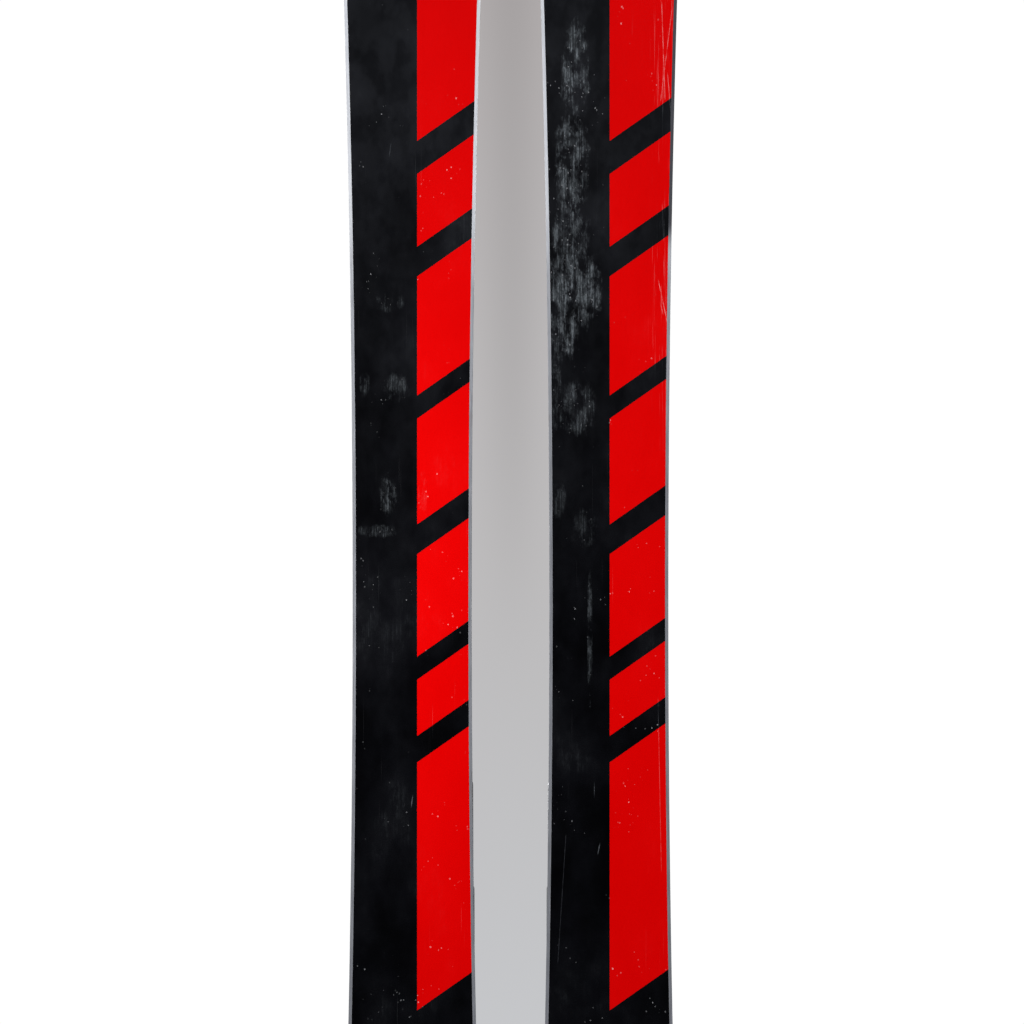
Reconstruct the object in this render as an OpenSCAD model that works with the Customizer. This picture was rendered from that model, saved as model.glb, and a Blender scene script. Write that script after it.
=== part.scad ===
// A pair of alpine carving skis with step-in release bindings, standing upright on their tails.
// Frame: +Z up along the skis (tips up), -Y out of the running bases, +X across the pair.
// Each ski is drawn lying flat (x from tail to tip, y across, z up out of the top sheet),
// and then stood up.

/* [Ski] */
// Length of each ski
ski_length = 1560; // [1540:10:1580]
// Width at the waist, the narrowest place
waist_w = 72; // [70:1:73]
// Width at the shovel
shovel_w = 118; // [116:1:118]
// Width at the tail
tail_w = 104; // [102:1:106]
// Radius of the side cut
sidecut_radius = 12500; // [12000:100:13500]
// Distance from the tail to the waist
waist_x = 675; // [665:5:685]
// Thickness under the boot
waist_t = 15.5; // [14.5:0.5:17]
// Thickness at the shovel
shovel_t = 6; // [5.5:0.5:7]
// Free camber under the boot
camber = 4; // [3:0.5:6]
// Height that the tip turns up
tip_rise = 48; // [40:2:56]
// Height that the tail turns up
tail_rise = 4; // [2:1:6]

/* [Laminate] */
// Thickness of the sliding base
base_t = 1.4; // [1.2:0.1:1.6]
// Width of the steel edge that shows on the base
edge_w = 2; // [1.8:0.1:2.2]
// Height of the steel edge
edge_h = 2; // [1.9:0.1:2.2]
// Width of the anchor flange of the steel edge
flange_w = 4; // [3:0.5:5]
// Thickness of each reinforcing sheet
sheet_t = 0.8; // [0.6:0.1:0.9]
// Thickness of the top sheet
top_t = 0.7; // [0.5:0.1:0.8]
// Width of the sidewall
sidewall_w = 6; // [5:0.5:7]

/* [Pair] */
// Distance between the two centre lines
pair_pitch = 119; // [119:1:130]

/* [Binding] */
// Boot sole length that the binding is set to
boot_sole = 305; // [303:1:307]
// Distance from the tail to the boot centre mark
boot_x = 690; // [685:5:695]
// Height of the boot sole above the top sheet
sole_z = 34; // [34:0.5:34.5]
// Height of the mounting rail
rail_h = 12; // [12:0.1:12.2]
// Diameter of the mounting screw shank
screw_d = 5.2; // [5:0.1:5.4]
// Angle by which each brake arm's axis leans out of the crosswise direction
brake_lean = 12.7; // [12:0.1:13.5]
// Angle of the stowed brake arm above the ski
brake_stow = 15; // [14:1:16]

/* [Hidden] */
$fn = 48;
side_names = ["left", "right"];
part_names = [
    "base", "base_inlay", "steel_edges", "lower_laminate", "wood_core", "sidewalls",
    "upper_laminate", "top_sheet", "tip_and_tail_guards", "binding_rails", "rail_screws",
    "toe_base", "toe_housing", "toe_wing_pins", "toe_wing_inner", "toe_wing_outer",
    "toe_spring", "toe_tension_screw", "glide_plate", "heel_base", "heel_pins",
    "length_screw", "heel_housing", "heel_spring", "heel_tension_screw", "heel_lever",
    "brake_base", "brake_pedal", "brake_arm_inner", "brake_arm_outer"];

metal = [0.7, 0.7, 0.72];
frame_black = [0.13, 0.13, 0.14];
housing_black = [0.1, 0.1, 0.11];

depth_mid = 62.6;                       // puts the Z axis through the middle of the pair's depth
flat_start = boot_x - 330;              // flat mounting zone
flat_end = boot_x + 330;
rear_contact = 70;                      // where the running surface starts to turn up
front_contact = ski_length - 230;
tip_t = shovel_t - 1;
top_z = camber + waist_t;               // top sheet under the boot
body = [16, ski_length - 40];           // laminated length, between the two guards
tail_end = [-6, body[0]];               // guards, drawn past the outline that trims them
tip_end = [body[1], ski_length + 8];

// ---------- solids between two coordinates along one axis ----------
module prism_x(from, to) {              // drawn as (y, z)
    translate([from, 0, 0]) rotate([90, 0, 90]) linear_extrude(to - from) children();
}
module prism_y(from, to) {              // drawn as (x, z)
    translate([0, to, 0]) rotate([90, 0, 0]) linear_extrude(to - from) children();
}
module prism_z(from, to) {              // drawn as (x, y)
    translate([0, 0, from]) linear_extrude(to - from) children();
}
module rod_x(from, to, y, z, radius) {
    translate([from, y, z]) rotate([0, 90, 0]) cylinder(h = to - from, r = radius);
}
module rod_y(from, to, x, z, radius) {
    translate([x, to, z]) rotate([90, 0, 0]) cylinder(h = to - from, r = radius);
}
module rod_z(from, to, x, y, radius) {
    translate([x, y, from]) cylinder(h = to - from, r = radius);
}
module box(low, high) { translate(low) cube(high - low); }
module both_sides() {
    children();
    mirror([0, 1, 0]) children();
}

// ---------- side profile, as functions of the distance from the tail ----------
function ease(u) = 0.5 + 0.5 * cos(180 * min(max(u, 0), 1));   // falls smoothly from 1 to 0
// Height of the running surface.
function rise(x) =
    x > front_contact
        ? tip_rise * pow((x - front_contact) / (ski_length - front_contact), 2.3)
    : x > flat_end ? camber * ease((x - flat_end) / (front_contact - flat_end))
    : x >= flat_start ? camber
    : x > rear_contact ? camber * ease((flat_start - x) / (flat_start - rear_contact))
    : tail_rise * pow((rear_contact - x) / rear_contact, 2);
function slope(x) = atan2(rise(x + 0.5) - rise(x - 0.5), 1);
function thickness(x) =
    x > flat_end
        ? tip_t + (waist_t - tip_t) * ease((x - flat_end) / (ski_length - 90 - flat_end))
    : x >= flat_start ? waist_t
    : shovel_t + (waist_t - shovel_t) * ease((flat_start - x) / (flat_start - 10));

// A level in the laminate: a distance, and whether it is measured down from the top.
function above_base(distance) = [distance, false];
function below_top(distance) = [distance, true];
function profile_point(x, level) =
    let (height = level[1] ? thickness(x) - level[0] : level[0])
    [x - height * sin(slope(x)), rise(x) + height * cos(slope(x))];

// Distances at which the profile is sampled.
all_stations = concat(
    [tail_end[0], 0],
    [for (i = [1:4]) rear_contact * i / 4],
    [for (i = [1:6]) rear_contact + (flat_start - rear_contact) * i / 6],
    [for (i = [0:9]) flat_end + (front_contact - flat_end) * i / 9],
    [for (i = [1:14]) front_contact + (ski_length - front_contact) * i / 14],
    [tip_end[1]]);
station_gap = 2;                        // stations this close to an end of a span are left out
function stations(span) = concat(
    [span[0]],
    [for (x = all_stations) if (x > span[0] + station_gap && x < span[1] - station_gap) x],
    [span[1]]);

// ---------- outline ----------
tail_round = 30;                        // length of the rounded tail corners
cut_start = 60;                         // the side cut runs between these two
cut_end = ski_length - 145;
widest_x = ski_length - 109;            // widest place of the shovel
tip_power = 2.2;                        // superellipse exponent of the tip
function cut(x) = waist_w / 2 + pow(x - waist_x, 2) / (2 * sidecut_radius);
// Leaves the first value at a slope and arrives at the second one level.
function blend(u, first, second) = first + (second - first) * (2 * u - u * u);

// Half outline on the +y side: tail corner, tail blend, side cut, shovel blend, tip.
half_outline = concat(
    [for (i = [6:-1:1])
        [tail_round - tail_round * sin(i * 15), tail_w / 4 + tail_w / 4 * cos(i * 15)]],
    [for (i = [0:3])
        [tail_round + i * (cut_start - tail_round) / 3,
            blend(1 - i / 3, cut(cut_start), tail_w / 2)]],
    [for (i = [1:28]) let (x = cut_start + i * (cut_end - cut_start) / 28) [x, cut(x)]],
    [for (i = [1:4])
        [cut_end + i * (widest_x - cut_end) / 4, blend(i / 4, cut(cut_end), shovel_w / 2)]],
    [for (i = [1:15])
        [widest_x + (ski_length - widest_x) * pow(sin(i * 6), 2 / tip_power),
            shovel_w / 2 * pow(max(cos(i * 6), 0), 2 / tip_power)]]);
full_outline = concat(half_outline,
    [for (i = [len(half_outline) - 2:-1:0]) [half_outline[i][0], -half_outline[i][1]]]);

// The outline moved inward.
function unit(v) = v / norm(v);
function inset_outline(inset) = inset == 0 ? full_outline :
    let (count = len(full_outline))
    [for (i = [0:count - 1])
        let (along = unit(full_outline[(i + 1) % count] - full_outline[(i + count - 1) % count]))
        full_outline[i] + inset * [along[1], -along[0]]];

module through_ski() { prism_z(-20, 100) children(); }
module plan(inset) { through_ski() polygon(inset_outline(inset)); }

// The part of the ski in a span of its length, between two levels and inside the inset outline.
module layer(span, low, high, inset) {
    xs = stations(span);
    intersection() {
        prism_y(-100, 100) polygon(concat(
            [for (x = xs) profile_point(x, low)],
            [for (i = [len(xs) - 1:-1:0]) profile_point(xs[i], high)]));
        plan(inset);
    }
}

// ---------- sliding base and its red inlay ----------
// Inlay blocks: start and end distance from the tail, on the block's low-y side.
inlay_blocks = [
    [428, 578], [594, 628], [642, 704], [722, 786], [800, 872], [890, 934],
    [954, 1046], [1062, 1086], [1104, 1164], [1180, 1202], [1220, 1310]];
inlay_w = 62;                           // reaches past the edge of the base
inlay_shift = 0.7 * inlay_w;            // both ends of a block slant forward by this
function inlay_y(side) = side < 0 ? 3 : 0.5;

module inlay_plan(side) {
    y0 = inlay_y(side);
    y1 = y0 + inlay_w;
    for (block = inlay_blocks)
        through_ski() polygon([[block[0], y0], [block[1], y0],
            [block[1] + inlay_shift, y1], [block[0] + inlay_shift, y1]]);
}
module base_layer() { layer(body, above_base(0), above_base(base_t), edge_w); }
module ski_base(side) {
    color([0.03, 0.03, 0.035]) difference() {
        base_layer();
        inlay_plan(side);
    }
}
module base_inlay(side) {
    color([0.8, 0.01, 0.01]) intersection() {
        base_layer();
        inlay_plan(side);
    }
}

// ---------- laminate ----------
core_low = above_base(edge_h + sheet_t);
core_high = below_top(top_t + sheet_t);

module steel_edges() {
    color([0.62, 0.63, 0.65]) difference() {
        layer(body, above_base(0), above_base(edge_h), 0);
        layer(body, above_base(-3), above_base(base_t), edge_w);
        plan(edge_w + flange_w);
    }
}
module lower_laminate() {
    color([0.75, 0.78, 0.6]) union() {
        layer(body, above_base(edge_h), core_low, 0);
        layer(body, above_base(base_t), above_base(edge_h), edge_w + flange_w);
    }
}
module wood_core() {
    color([0.8, 0.64, 0.42]) difference() {
        layer(body, core_low, core_high, sidewall_w);
        screw_holes();
    }
}
module sidewalls() {
    color([0.04, 0.04, 0.045]) difference() {
        layer(body, core_low, core_high, 0);
        plan(sidewall_w);
    }
}
module upper_laminate() {
    color([0.7, 0.7, 0.72]) difference() {
        layer(body, core_high, below_top(top_t), 0);
        screw_holes();
    }
}
module top_sheet() {
    color([0.05, 0.05, 0.06]) difference() {
        layer(body, below_top(top_t), below_top(0), 0);
        screw_holes();
    }
}
module tip_and_tail_guards() {
    color([0.09, 0.09, 0.1]) union() {
        layer(tip_end, above_base(0), below_top(0), 0);
        layer(tail_end, above_base(0), below_top(0), 0);
    }
}

// ---------- binding helpers: x forward from the boot centre, z up from the top sheet ----------
module on_ski() { translate([boot_x, 0, top_z]) children(); }
// Turns +z to an angle above +x, from a point in the middle plane.
module aimed(x, z, angle) { translate([x, 0, z]) rotate([0, 90 - angle, 0]) children(); }

function arc(x, y, radius, start, end, steps) =
    [for (i = [0:steps]) let (angle = start + (end - start) * i / steps)
        [x + radius * cos(angle), y + radius * sin(angle)]];
// A ring sector about a point on the centre line.
function sector(x, inner_r, outer_r, start, end, steps) =
    concat(arc(x, 0, inner_r, start, end, steps), arc(x, 0, outer_r, end, start, steps));
// A rectangle with rounded corners, symmetric about the centre line.
function round_box(x0, x1, half_w, radius) = concat(
    arc(x1 - radius, half_w - radius, radius, 0, 90, 5),
    arc(x0 + radius, half_w - radius, radius, 90, 180, 5),
    arc(x0 + radius, radius - half_w, radius, 180, 270, 5),
    arc(x1 - radius, radius - half_w, radius, 270, 360, 5));

// A compression spring along +z, as one closed wire.
module coil(length, coil_r, wire_r, turns) {
    steps = turns * 12;
    around = 6;
    points = [for (i = [0:steps]) for (j = [0:around - 1])
        let (turn = 360 * turns * i / steps,
            roll = 360 * j / around,
            radius = coil_r + wire_r * cos(roll))
        [radius * cos(turn), radius * sin(turn),
            wire_r + (length - 2 * wire_r) * i / steps + wire_r * sin(roll)]];
    faces = concat(
        [[for (j = [0:around - 1]) j]],
        [for (i = [0:steps - 1]) for (j = [0:around - 1])
            [i * around + j, (i + 1) * around + j, (i + 1) * around + (j + 1) % around]],
        [for (i = [0:steps - 1]) for (j = [0:around - 1])
            [i * around + j, (i + 1) * around + (j + 1) % around, i * around + (j + 1) % around]],
        [[for (j = [around - 1:-1:0]) steps * around + j]]);
    polyhedron(points, faces);
}

// ---------- rails and screws ----------
rail_spans = [[60, 262], [-292, -62]];  // front and rear
foot_y = 24;                            // half widths of the rail's foot, neck and head
neck_y = 16;
head_y = 21;
foot_z = 4;                             // top of the foot
neck_z = 8;                             // top of the neck
slide_gap = 0.3;                        // between a rail and the channel that grips it
screw_xs = [74, 248, -76, -280];
screw_y = 12;
screw_depth = 9;
screw_r = screw_d / 2;
sink_z = rail_h - 2.5;                  // bottom of the countersink

module at_screws() {
    for (x = screw_xs) for (y = [screw_y, -screw_y]) translate([x, y, 0]) children();
}
module screw_holes() {
    on_ski() at_screws() translate([0, 0, -screw_depth - 0.5]) cylinder(h = 30, r = screw_r + 0.02);
}
module rail_section() {
    polygon([[-foot_y, 0], [foot_y, 0], [foot_y, foot_z], [neck_y, foot_z], [neck_y, neck_z],
        [head_y, neck_z], [head_y, rail_h], [-head_y, rail_h], [-head_y, neck_z],
        [-neck_y, neck_z], [-neck_y, foot_z], [-foot_y, foot_z]]);
}
module binding_rails() {
    bore_r = screw_r + 0.05;
    sink_r = 4.9;
    color([0.12, 0.12, 0.13]) on_ski() difference() {
        union() for (span = rail_spans) prism_x(span[0], span[1]) rail_section();
        at_screws() {
            translate([0, 0, -1]) cylinder(h = rail_h, r = bore_r);
            translate([0, 0, sink_z]) cylinder(h = rail_h - sink_z, r1 = bore_r, r2 = sink_r);
            translate([0, 0, rail_h]) cylinder(h = 1, r = sink_r);
        }
        // Row of crosswise notches in the top of the rear rail.
        for (i = [0:13]) box([-272 + i * 4, -5, rail_h - 1.2], [-270 + i * 4, 5, rail_h + 1]);
    }
}
module rail_screws() {
    slot_z = rail_h - 1.4;
    color(metal) on_ski() at_screws() difference() {
        union() {
            rod_z(-screw_depth, sink_z, 0, 0, screw_r);
            translate([0, 0, sink_z]) cylinder(h = 2.4, r1 = screw_r, r2 = 4.75);
        }
        box([-2.6, -0.5, slot_z], [2.6, 0.5, rail_h + 1]);
        box([-0.5, -2.6, slot_z], [0.5, 2.6, rail_h + 1]);
    }
}
// Section of a block with a channel that grips a rail.
module channel(half_w, height) {
    low = foot_z + slide_gap;
    high = neck_z - slide_gap;
    roof = rail_h + slide_gap;
    neck = neck_y + slide_gap;
    head = head_y + slide_gap;
    polygon([[-half_w, low], [-neck, low], [-neck, high], [-head, high], [-head, roof],
        [head, roof], [head, high], [neck, high], [neck, low], [half_w, low],
        [half_w, height], [-half_w, height]]);
}

// ---------- toe piece ----------
toe_x = boot_sole / 2 - 34.5;           // centre of the boot's rounded toe
wing_x = 180;                           // wing pivots
wing_y = 15;
wing_pin_r = 3;
wing_bore_r = wing_pin_r + 0.02;
wing_top = 56.6;
jaw_top = 60;
jaw_r = 43.2;                           // outside radius of the wing's curved jaw
toe_axis_z = 35;                        // spring and tension screw
toe_deck_z = 18;
glide_x = 115;                          // middle of the glide plate
// Side profile (x, z) and plan (x, y) of the housing.
toe_profile = [[164, toe_deck_z], [240, toe_deck_z], [244, 24], [244, 44], [236, 52],
    [214, 58], [188, 61], [164, 61]];
toe_plan = [[164, -25], [188, -27], [216, -24], [234, -18], [244, -12],
    [244, 12], [234, 18], [216, 24], [188, 27], [164, 25]];
// Plan (x, y) of the wing between its pivot and its jaw.
wing_plan = [[178, 9.2], [186, 13], [184.5, 20], [172, 28], [157, 34], [149, 35],
    [150, 26], [157, 13], [159.5, 9.4]];

module toe_base() {
    color(frame_black) on_ski() difference() {
        union() {
            prism_x(90, 242) channel(27, toe_deck_z);
            box([glide_x - 23, -27, 17], [glide_x + 23, 27, 27.5]);
        }
        box([glide_x - 6, -30, 24], [glide_x + 6, 30, 30]);
        both_sides() rod_z(13.9, 23.9, wing_x, wing_y, wing_bore_r);
    }
}
module toe_housing() {
    color(housing_black) on_ski() difference() {
        intersection() {
            prism_y(-30, 30) polygon(toe_profile);
            prism_z(10, 70) polygon(toe_plan);
        }
        both_sides() box([160, 8, 31], [194, 40, 57]);
        both_sides() rod_z(10, 70, wing_x, wing_y, wing_bore_r);
        rod_x(160, 198, 0, toe_axis_z, 3.2);
        rod_x(196, 250, 0, toe_axis_z, 8.6);
    }
}
module toe_wing_pins() {
    color(metal) on_ski() both_sides() {
        rod_z(14, 62, wing_x, wing_y, wing_pin_r);
        rod_z(61.05, 62.45, wing_x, wing_y, 4.2);
    }
}
module toe_wing() {
    color(housing_black) on_ski() difference() {
        union() {
            rod_z(31.4, wing_top, wing_x, wing_y, 6.3);
            prism_z(36, wing_top) polygon(wing_plan);
            prism_z(35.5, jaw_top) polygon(sector(toe_x, 35, jaw_r, 12, 54, 12));
            // Lip over the boot's toe.
            prism_z(54.2, jaw_top) polygon(sector(toe_x, 27, jaw_r, 12, 46, 12));
        }
        rod_z(20, 70, wing_x, wing_y, wing_pin_r + 0.08);
    }
}
module toe_spring() {
    color(metal) on_ski() translate([198, 0, toe_axis_z]) rotate([0, 90, 0])
        coil(length = 32, coil_r = 6.2, wire_r = 1.2, turns = 7);
}
module toe_tension_screw() {
    color(metal) on_ski() difference() {
        union() {
            rod_x(231, 242.5, 0, toe_axis_z, 8.4);
            rod_x(168, 232, 0, toe_axis_z, 3);
        }
        box([240.3, -7, toe_axis_z - 0.9], [244, 7, toe_axis_z + 0.9]);
    }
}
module glide_plate() {
    plate_z = 27.8;
    color([0.55, 0.56, 0.58]) on_ski() union() {
        prism_z(plate_z, sole_z) polygon(round_box(glide_x - 19, glide_x + 19, 31, 5));
        // Key in the groove of the toe base.
        box([glide_x - 5.6, -27, 24.4], [glide_x + 5.6, 27, 28]);
    }
}

// ---------- heel piece ----------
heel_x = -205;                          // main pivot
heel_z = 40;
heel_pin_r = 4;
lever_x = heel_x - 20;                  // lever pivot
lever_z = heel_z + 26;
lever_pin_r = 3;
barrel_angle = 150;                     // direction of the spring barrel
lever_angle = 140;                      // direction of the lever
cup_x = 34.5 + 0.5 - boot_sole / 2;     // centre of the boot's rounded heel
cup_r = 44;                             // outside radius of the heel cup
cup_top = 70;
heel_deck_z = 15.5;
heel_base_y = 25.5;                     // half width of the heel base
cheek_y = 20.6;                         // inner face of the base's cheeks and the lever's arms
housing_y = 20.2;                       // half width of the housing
length_screw_z = 19;
// Side profile (x, z) of the housing, besides its round hub and barrel.
heel_profile = [[-205, 22.5], [-176, 24], [-165, 27.5], [-158, 27.5], [-158, 66], [-166, 73],
    [-190, 74], [-225, 73], [-232, 66], [-222, 54], [-212, 50]];
// Section of the lever's handle (across the lever, along it).
handle_profile = [[-5, 28], [2, 26], [4, 32], [2.5, 58], [-1, 63], [-5, 62]];

module along_barrel(distance) {
    aimed(heel_x, heel_z, barrel_angle) translate([0, 0, distance]) children();
}
module along_lever() { aimed(lever_x, lever_z, lever_angle) children(); }

module heel_base() {
    color(frame_black) on_ski() difference() {
        union() {
            prism_x(-262, -74) channel(heel_base_y, heel_deck_z);
            both_sides() prism_y(cheek_y, heel_base_y) {
                polygon([[heel_x - 33, 15], [heel_x + 33, 15],
                    [heel_x + 10.4, heel_z + 3], [heel_x - 10.4, heel_z + 3]]);
                translate([heel_x, heel_z]) circle(r = 11);
            }
            box([-262, -11, 15], [-246, 11, 25]);
        }
        rod_y(-30, 30, heel_x, heel_z, heel_pin_r + 0.02);
        // Bore and pocket of the length screw.
        rod_x(-270, -240, 0, length_screw_z, 3.08);
        box([-258, -7.2, 11], [-250, 7.2, 30]);
    }
}
module heel_pins() {
    color(metal) on_ski() union() {
        rod_y(-25.4, 25.4, heel_x, heel_z, heel_pin_r);
        rod_y(-16.5, 16.5, pedal_x, pedal_z, pedal_pin_r);
    }
}
module length_screw() {
    color(metal) on_ski() difference() {
        union() {
            rod_x(-266, -247, 0, length_screw_z, 3);
            for (i = [0:2]) rod_x(-257.6 + 2.8 * i, -256 + 2.8 * i, 0, length_screw_z, 6.6);
            rod_x(-268.5, -263, 0, length_screw_z, 4.6);
        }
        // Cross slot in the head.
        box([-270, -3.6, length_screw_z - 0.6], [-267, 3.6, length_screw_z + 0.6]);
        box([-270, -0.6, length_screw_z - 3.6], [-267, 0.6, length_screw_z + 3.6]);
    }
}
module heel_housing() {
    color(housing_black) on_ski() difference() {
        union() {
            rod_y(-housing_y, housing_y, heel_x, heel_z, 18.5);
            along_barrel(0) cylinder(h = 40, r = 13);
            prism_y(-housing_y, housing_y) polygon(heel_profile);
            // Cup behind the boot's heel, and the lip over it.
            prism_z(36, cup_top) polygon(sector(cup_x, 35.4, cup_r, 144, 216, 14));
            prism_z(64.8, cup_top) polygon(sector(cup_x, 27.5, cup_r, 146, 214, 14));
            // Tongue under the boot's heel.
            box([-160, -11.4, 27.5], [-134, 11.4, 33.4]);
            // Stub axles of the lever.
            both_sides() rod_y(19, 25, lever_x, lever_z, lever_pin_r);
        }
        rod_y(-30, 30, heel_x, heel_z, heel_pin_r + 0.08);
        along_barrel(8) cylinder(h = 40, r = 10.2);
    }
}
module heel_spring() {
    color(metal) on_ski() along_barrel(8.5)
        coil(length = 24.5, coil_r = 7.6, wire_r = 1.5, turns = 5);
}
module heel_tension_screw() {
    color(metal) on_ski() difference() {
        along_barrel(33.5) cylinder(h = 6, r = 10);
        along_barrel(37.5) box([-8, -0.9, 0], [8, 0.9, 4]);
    }
}
module heel_lever() {
    lever_y = 25.2;
    color([0.75, 0.02, 0.02]) on_ski() difference() {
        along_lever() union() {
            both_sides() {
                rod_y(cheek_y, lever_y, 0, 0, 6);
                box([-5, cheek_y, 0], [4, lever_y, 40]);
            }
            prism_y(-lever_y, lever_y) polygon(handle_profile);
        }
        rod_y(-30, 30, lever_x, lever_z, lever_pin_r + 0.08);
        // Tapered hole through the handle.
        along_lever() translate([0, 0, 50]) rotate([0, -90, 0])
            cylinder(h = 10, r1 = 5, r2 = 9, center = true);
    }
}

// ---------- brake ----------
pedal_x = -108;                         // pedal pivot
pedal_z = 25.5;
pedal_pin_r = 2;
pedal_hub_r = 4.5;
arm_pivot = [-125, 34.2, 27];           // bend of the +y arm, at the outer end of its axis
arm_r = 2.25;
// Side profile (x, z) of the arm's paddle, from the bend.
paddle_profile = [[-70, 4], [-74, -3], [-84, -7], [-108, -7], [-114, -3], [-114, 4],
    [-110, 7], [-76, 7]];

// Turns +z inward along the arm's axis.
module arm_axis() { translate(arm_pivot) rotate([90 + brake_lean, 0, 0]) children(); }

module brake_base() {
    plate_top = 18.5;
    ear_low = 18;                       // sunk into the plate
    color([0.11, 0.11, 0.12]) on_ski() difference() {
        union() {
            box([-142, -heel_base_y, heel_deck_z], [-76, heel_base_y, plate_top]);
            both_sides() box([arm_pivot[0] - 8, 12, ear_low], [arm_pivot[0] + 8, heel_base_y, 32]);
            both_sides() prism_y(12, 17) {
                translate([pedal_x, pedal_z]) circle(r = pedal_hub_r);
                polygon([[pedal_x - pedal_hub_r, ear_low], [pedal_x + pedal_hub_r, ear_low],
                    [pedal_x + pedal_hub_r, pedal_z], [pedal_x - pedal_hub_r, pedal_z]]);
            }
        }
        both_sides() arm_axis() translate([0, 0, -5]) cylinder(h = 40, r = arm_r + 0.1);
        rod_y(-20, 20, pedal_x, pedal_z, pedal_pin_r + 0.01);
    }
}
module brake_pedal() {
    color(housing_black) on_ski() difference() {
        union() {
            rod_y(-11.6, 11.6, pedal_x, pedal_z, pedal_hub_r);
            prism_y(-11.4, 11.4)
                polygon([[pedal_x, pedal_z], [-104.6, 22.6], [-88, 31], [pedal_x, 31]]);
            prism_z(30.4, sole_z) polygon(round_box(pedal_x, -76, 22, 4));
        }
        rod_y(-20, 20, pedal_x, pedal_z, pedal_pin_r + 0.08);
    }
}
module brake_arm() {
    color([0.6, 0.6, 0.62]) on_ski() union() {
        arm_axis() cylinder(h = 23.5, r = arm_r);
        translate(arm_pivot) sphere(r = 2.7);
        translate(arm_pivot) rotate([0, brake_stow, 0]) {
            rod_x(-108, 0, 0, 0, arm_r);
            prism_y(-4.2, 2.8) polygon(paddle_profile);
        }
    }
}

// ---------- one ski, by part; side is -1 for the left ski and 1 for the right ----------
module mirrored(flip) { mirror([0, flip ? 1 : 0, 0]) children(); }

// Wings and arms are drawn on the +y side, which is the inner side of the left ski.
module ski_part(part, side) {
    if (part == "base") ski_base(side);
    if (part == "base_inlay") base_inlay(side);
    if (part == "steel_edges") steel_edges();
    if (part == "lower_laminate") lower_laminate();
    if (part == "wood_core") wood_core();
    if (part == "sidewalls") sidewalls();
    if (part == "upper_laminate") upper_laminate();
    if (part == "top_sheet") top_sheet();
    if (part == "tip_and_tail_guards") tip_and_tail_guards();
    if (part == "binding_rails") binding_rails();
    if (part == "rail_screws") rail_screws();
    if (part == "toe_base") toe_base();
    if (part == "toe_housing") toe_housing();
    if (part == "toe_wing_pins") toe_wing_pins();
    if (part == "toe_wing_inner") mirrored(side > 0) toe_wing();
    if (part == "toe_wing_outer") mirrored(side < 0) toe_wing();
    if (part == "toe_spring") toe_spring();
    if (part == "toe_tension_screw") toe_tension_screw();
    if (part == "glide_plate") glide_plate();
    if (part == "heel_base") heel_base();
    if (part == "heel_pins") heel_pins();
    if (part == "length_screw") length_screw();
    if (part == "heel_housing") heel_housing();
    if (part == "heel_spring") heel_spring();
    if (part == "heel_tension_screw") heel_tension_screw();
    if (part == "heel_lever") heel_lever();
    if (part == "brake_base") brake_base();
    if (part == "brake_pedal") brake_pedal();
    if (part == "brake_arm_inner") mirrored(side > 0) brake_arm();
    if (part == "brake_arm_outer") mirrored(side < 0) brake_arm();
}
// Stands a flat ski up: its length along +Z, its top sheet towards +Y.
module stand(side) {
    translate([side * pair_pitch / 2, -depth_mid, 0])
        multmatrix([[0, 1, 0, 0], [0, 0, 1, 0], [1, 0, 0, 0], [0, 0, 0, 1]]) children();
}

for (part = part_names) {
    stand(-1) ski_part(part, -1);
    stand(1) ski_part(part, 1);
}
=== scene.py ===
"""A pair of alpine skis with bindings, standing on their tails side by side.

In the world x runs across the pair (the left ski is at -x), z goes up from tails to tips, and the
bases face -y, towards the camera. Each ski is built in its own frame in millimetres: x from tail
to tip, y across, z from the base out of the top sheet. Binding pieces are built about the boot
centre on the top sheet, with the toe at +x.
"""
import math
from functools import reduce

import bmesh
import bpy
from mathutils import Matrix, Vector


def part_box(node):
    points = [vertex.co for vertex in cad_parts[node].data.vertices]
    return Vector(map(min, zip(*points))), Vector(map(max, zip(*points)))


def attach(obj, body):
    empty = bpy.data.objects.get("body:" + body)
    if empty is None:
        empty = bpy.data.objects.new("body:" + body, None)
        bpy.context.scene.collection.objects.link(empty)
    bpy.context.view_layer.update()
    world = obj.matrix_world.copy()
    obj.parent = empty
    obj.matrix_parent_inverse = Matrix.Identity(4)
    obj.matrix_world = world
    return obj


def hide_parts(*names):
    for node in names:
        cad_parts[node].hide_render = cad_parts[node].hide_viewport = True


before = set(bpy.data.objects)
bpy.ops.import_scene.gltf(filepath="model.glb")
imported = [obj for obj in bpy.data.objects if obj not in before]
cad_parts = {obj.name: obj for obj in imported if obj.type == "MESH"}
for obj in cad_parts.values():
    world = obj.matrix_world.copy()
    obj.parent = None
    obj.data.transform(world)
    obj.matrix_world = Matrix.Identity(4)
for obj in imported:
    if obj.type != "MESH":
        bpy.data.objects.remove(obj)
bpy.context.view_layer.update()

SIDES = ("left", "right")

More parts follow.
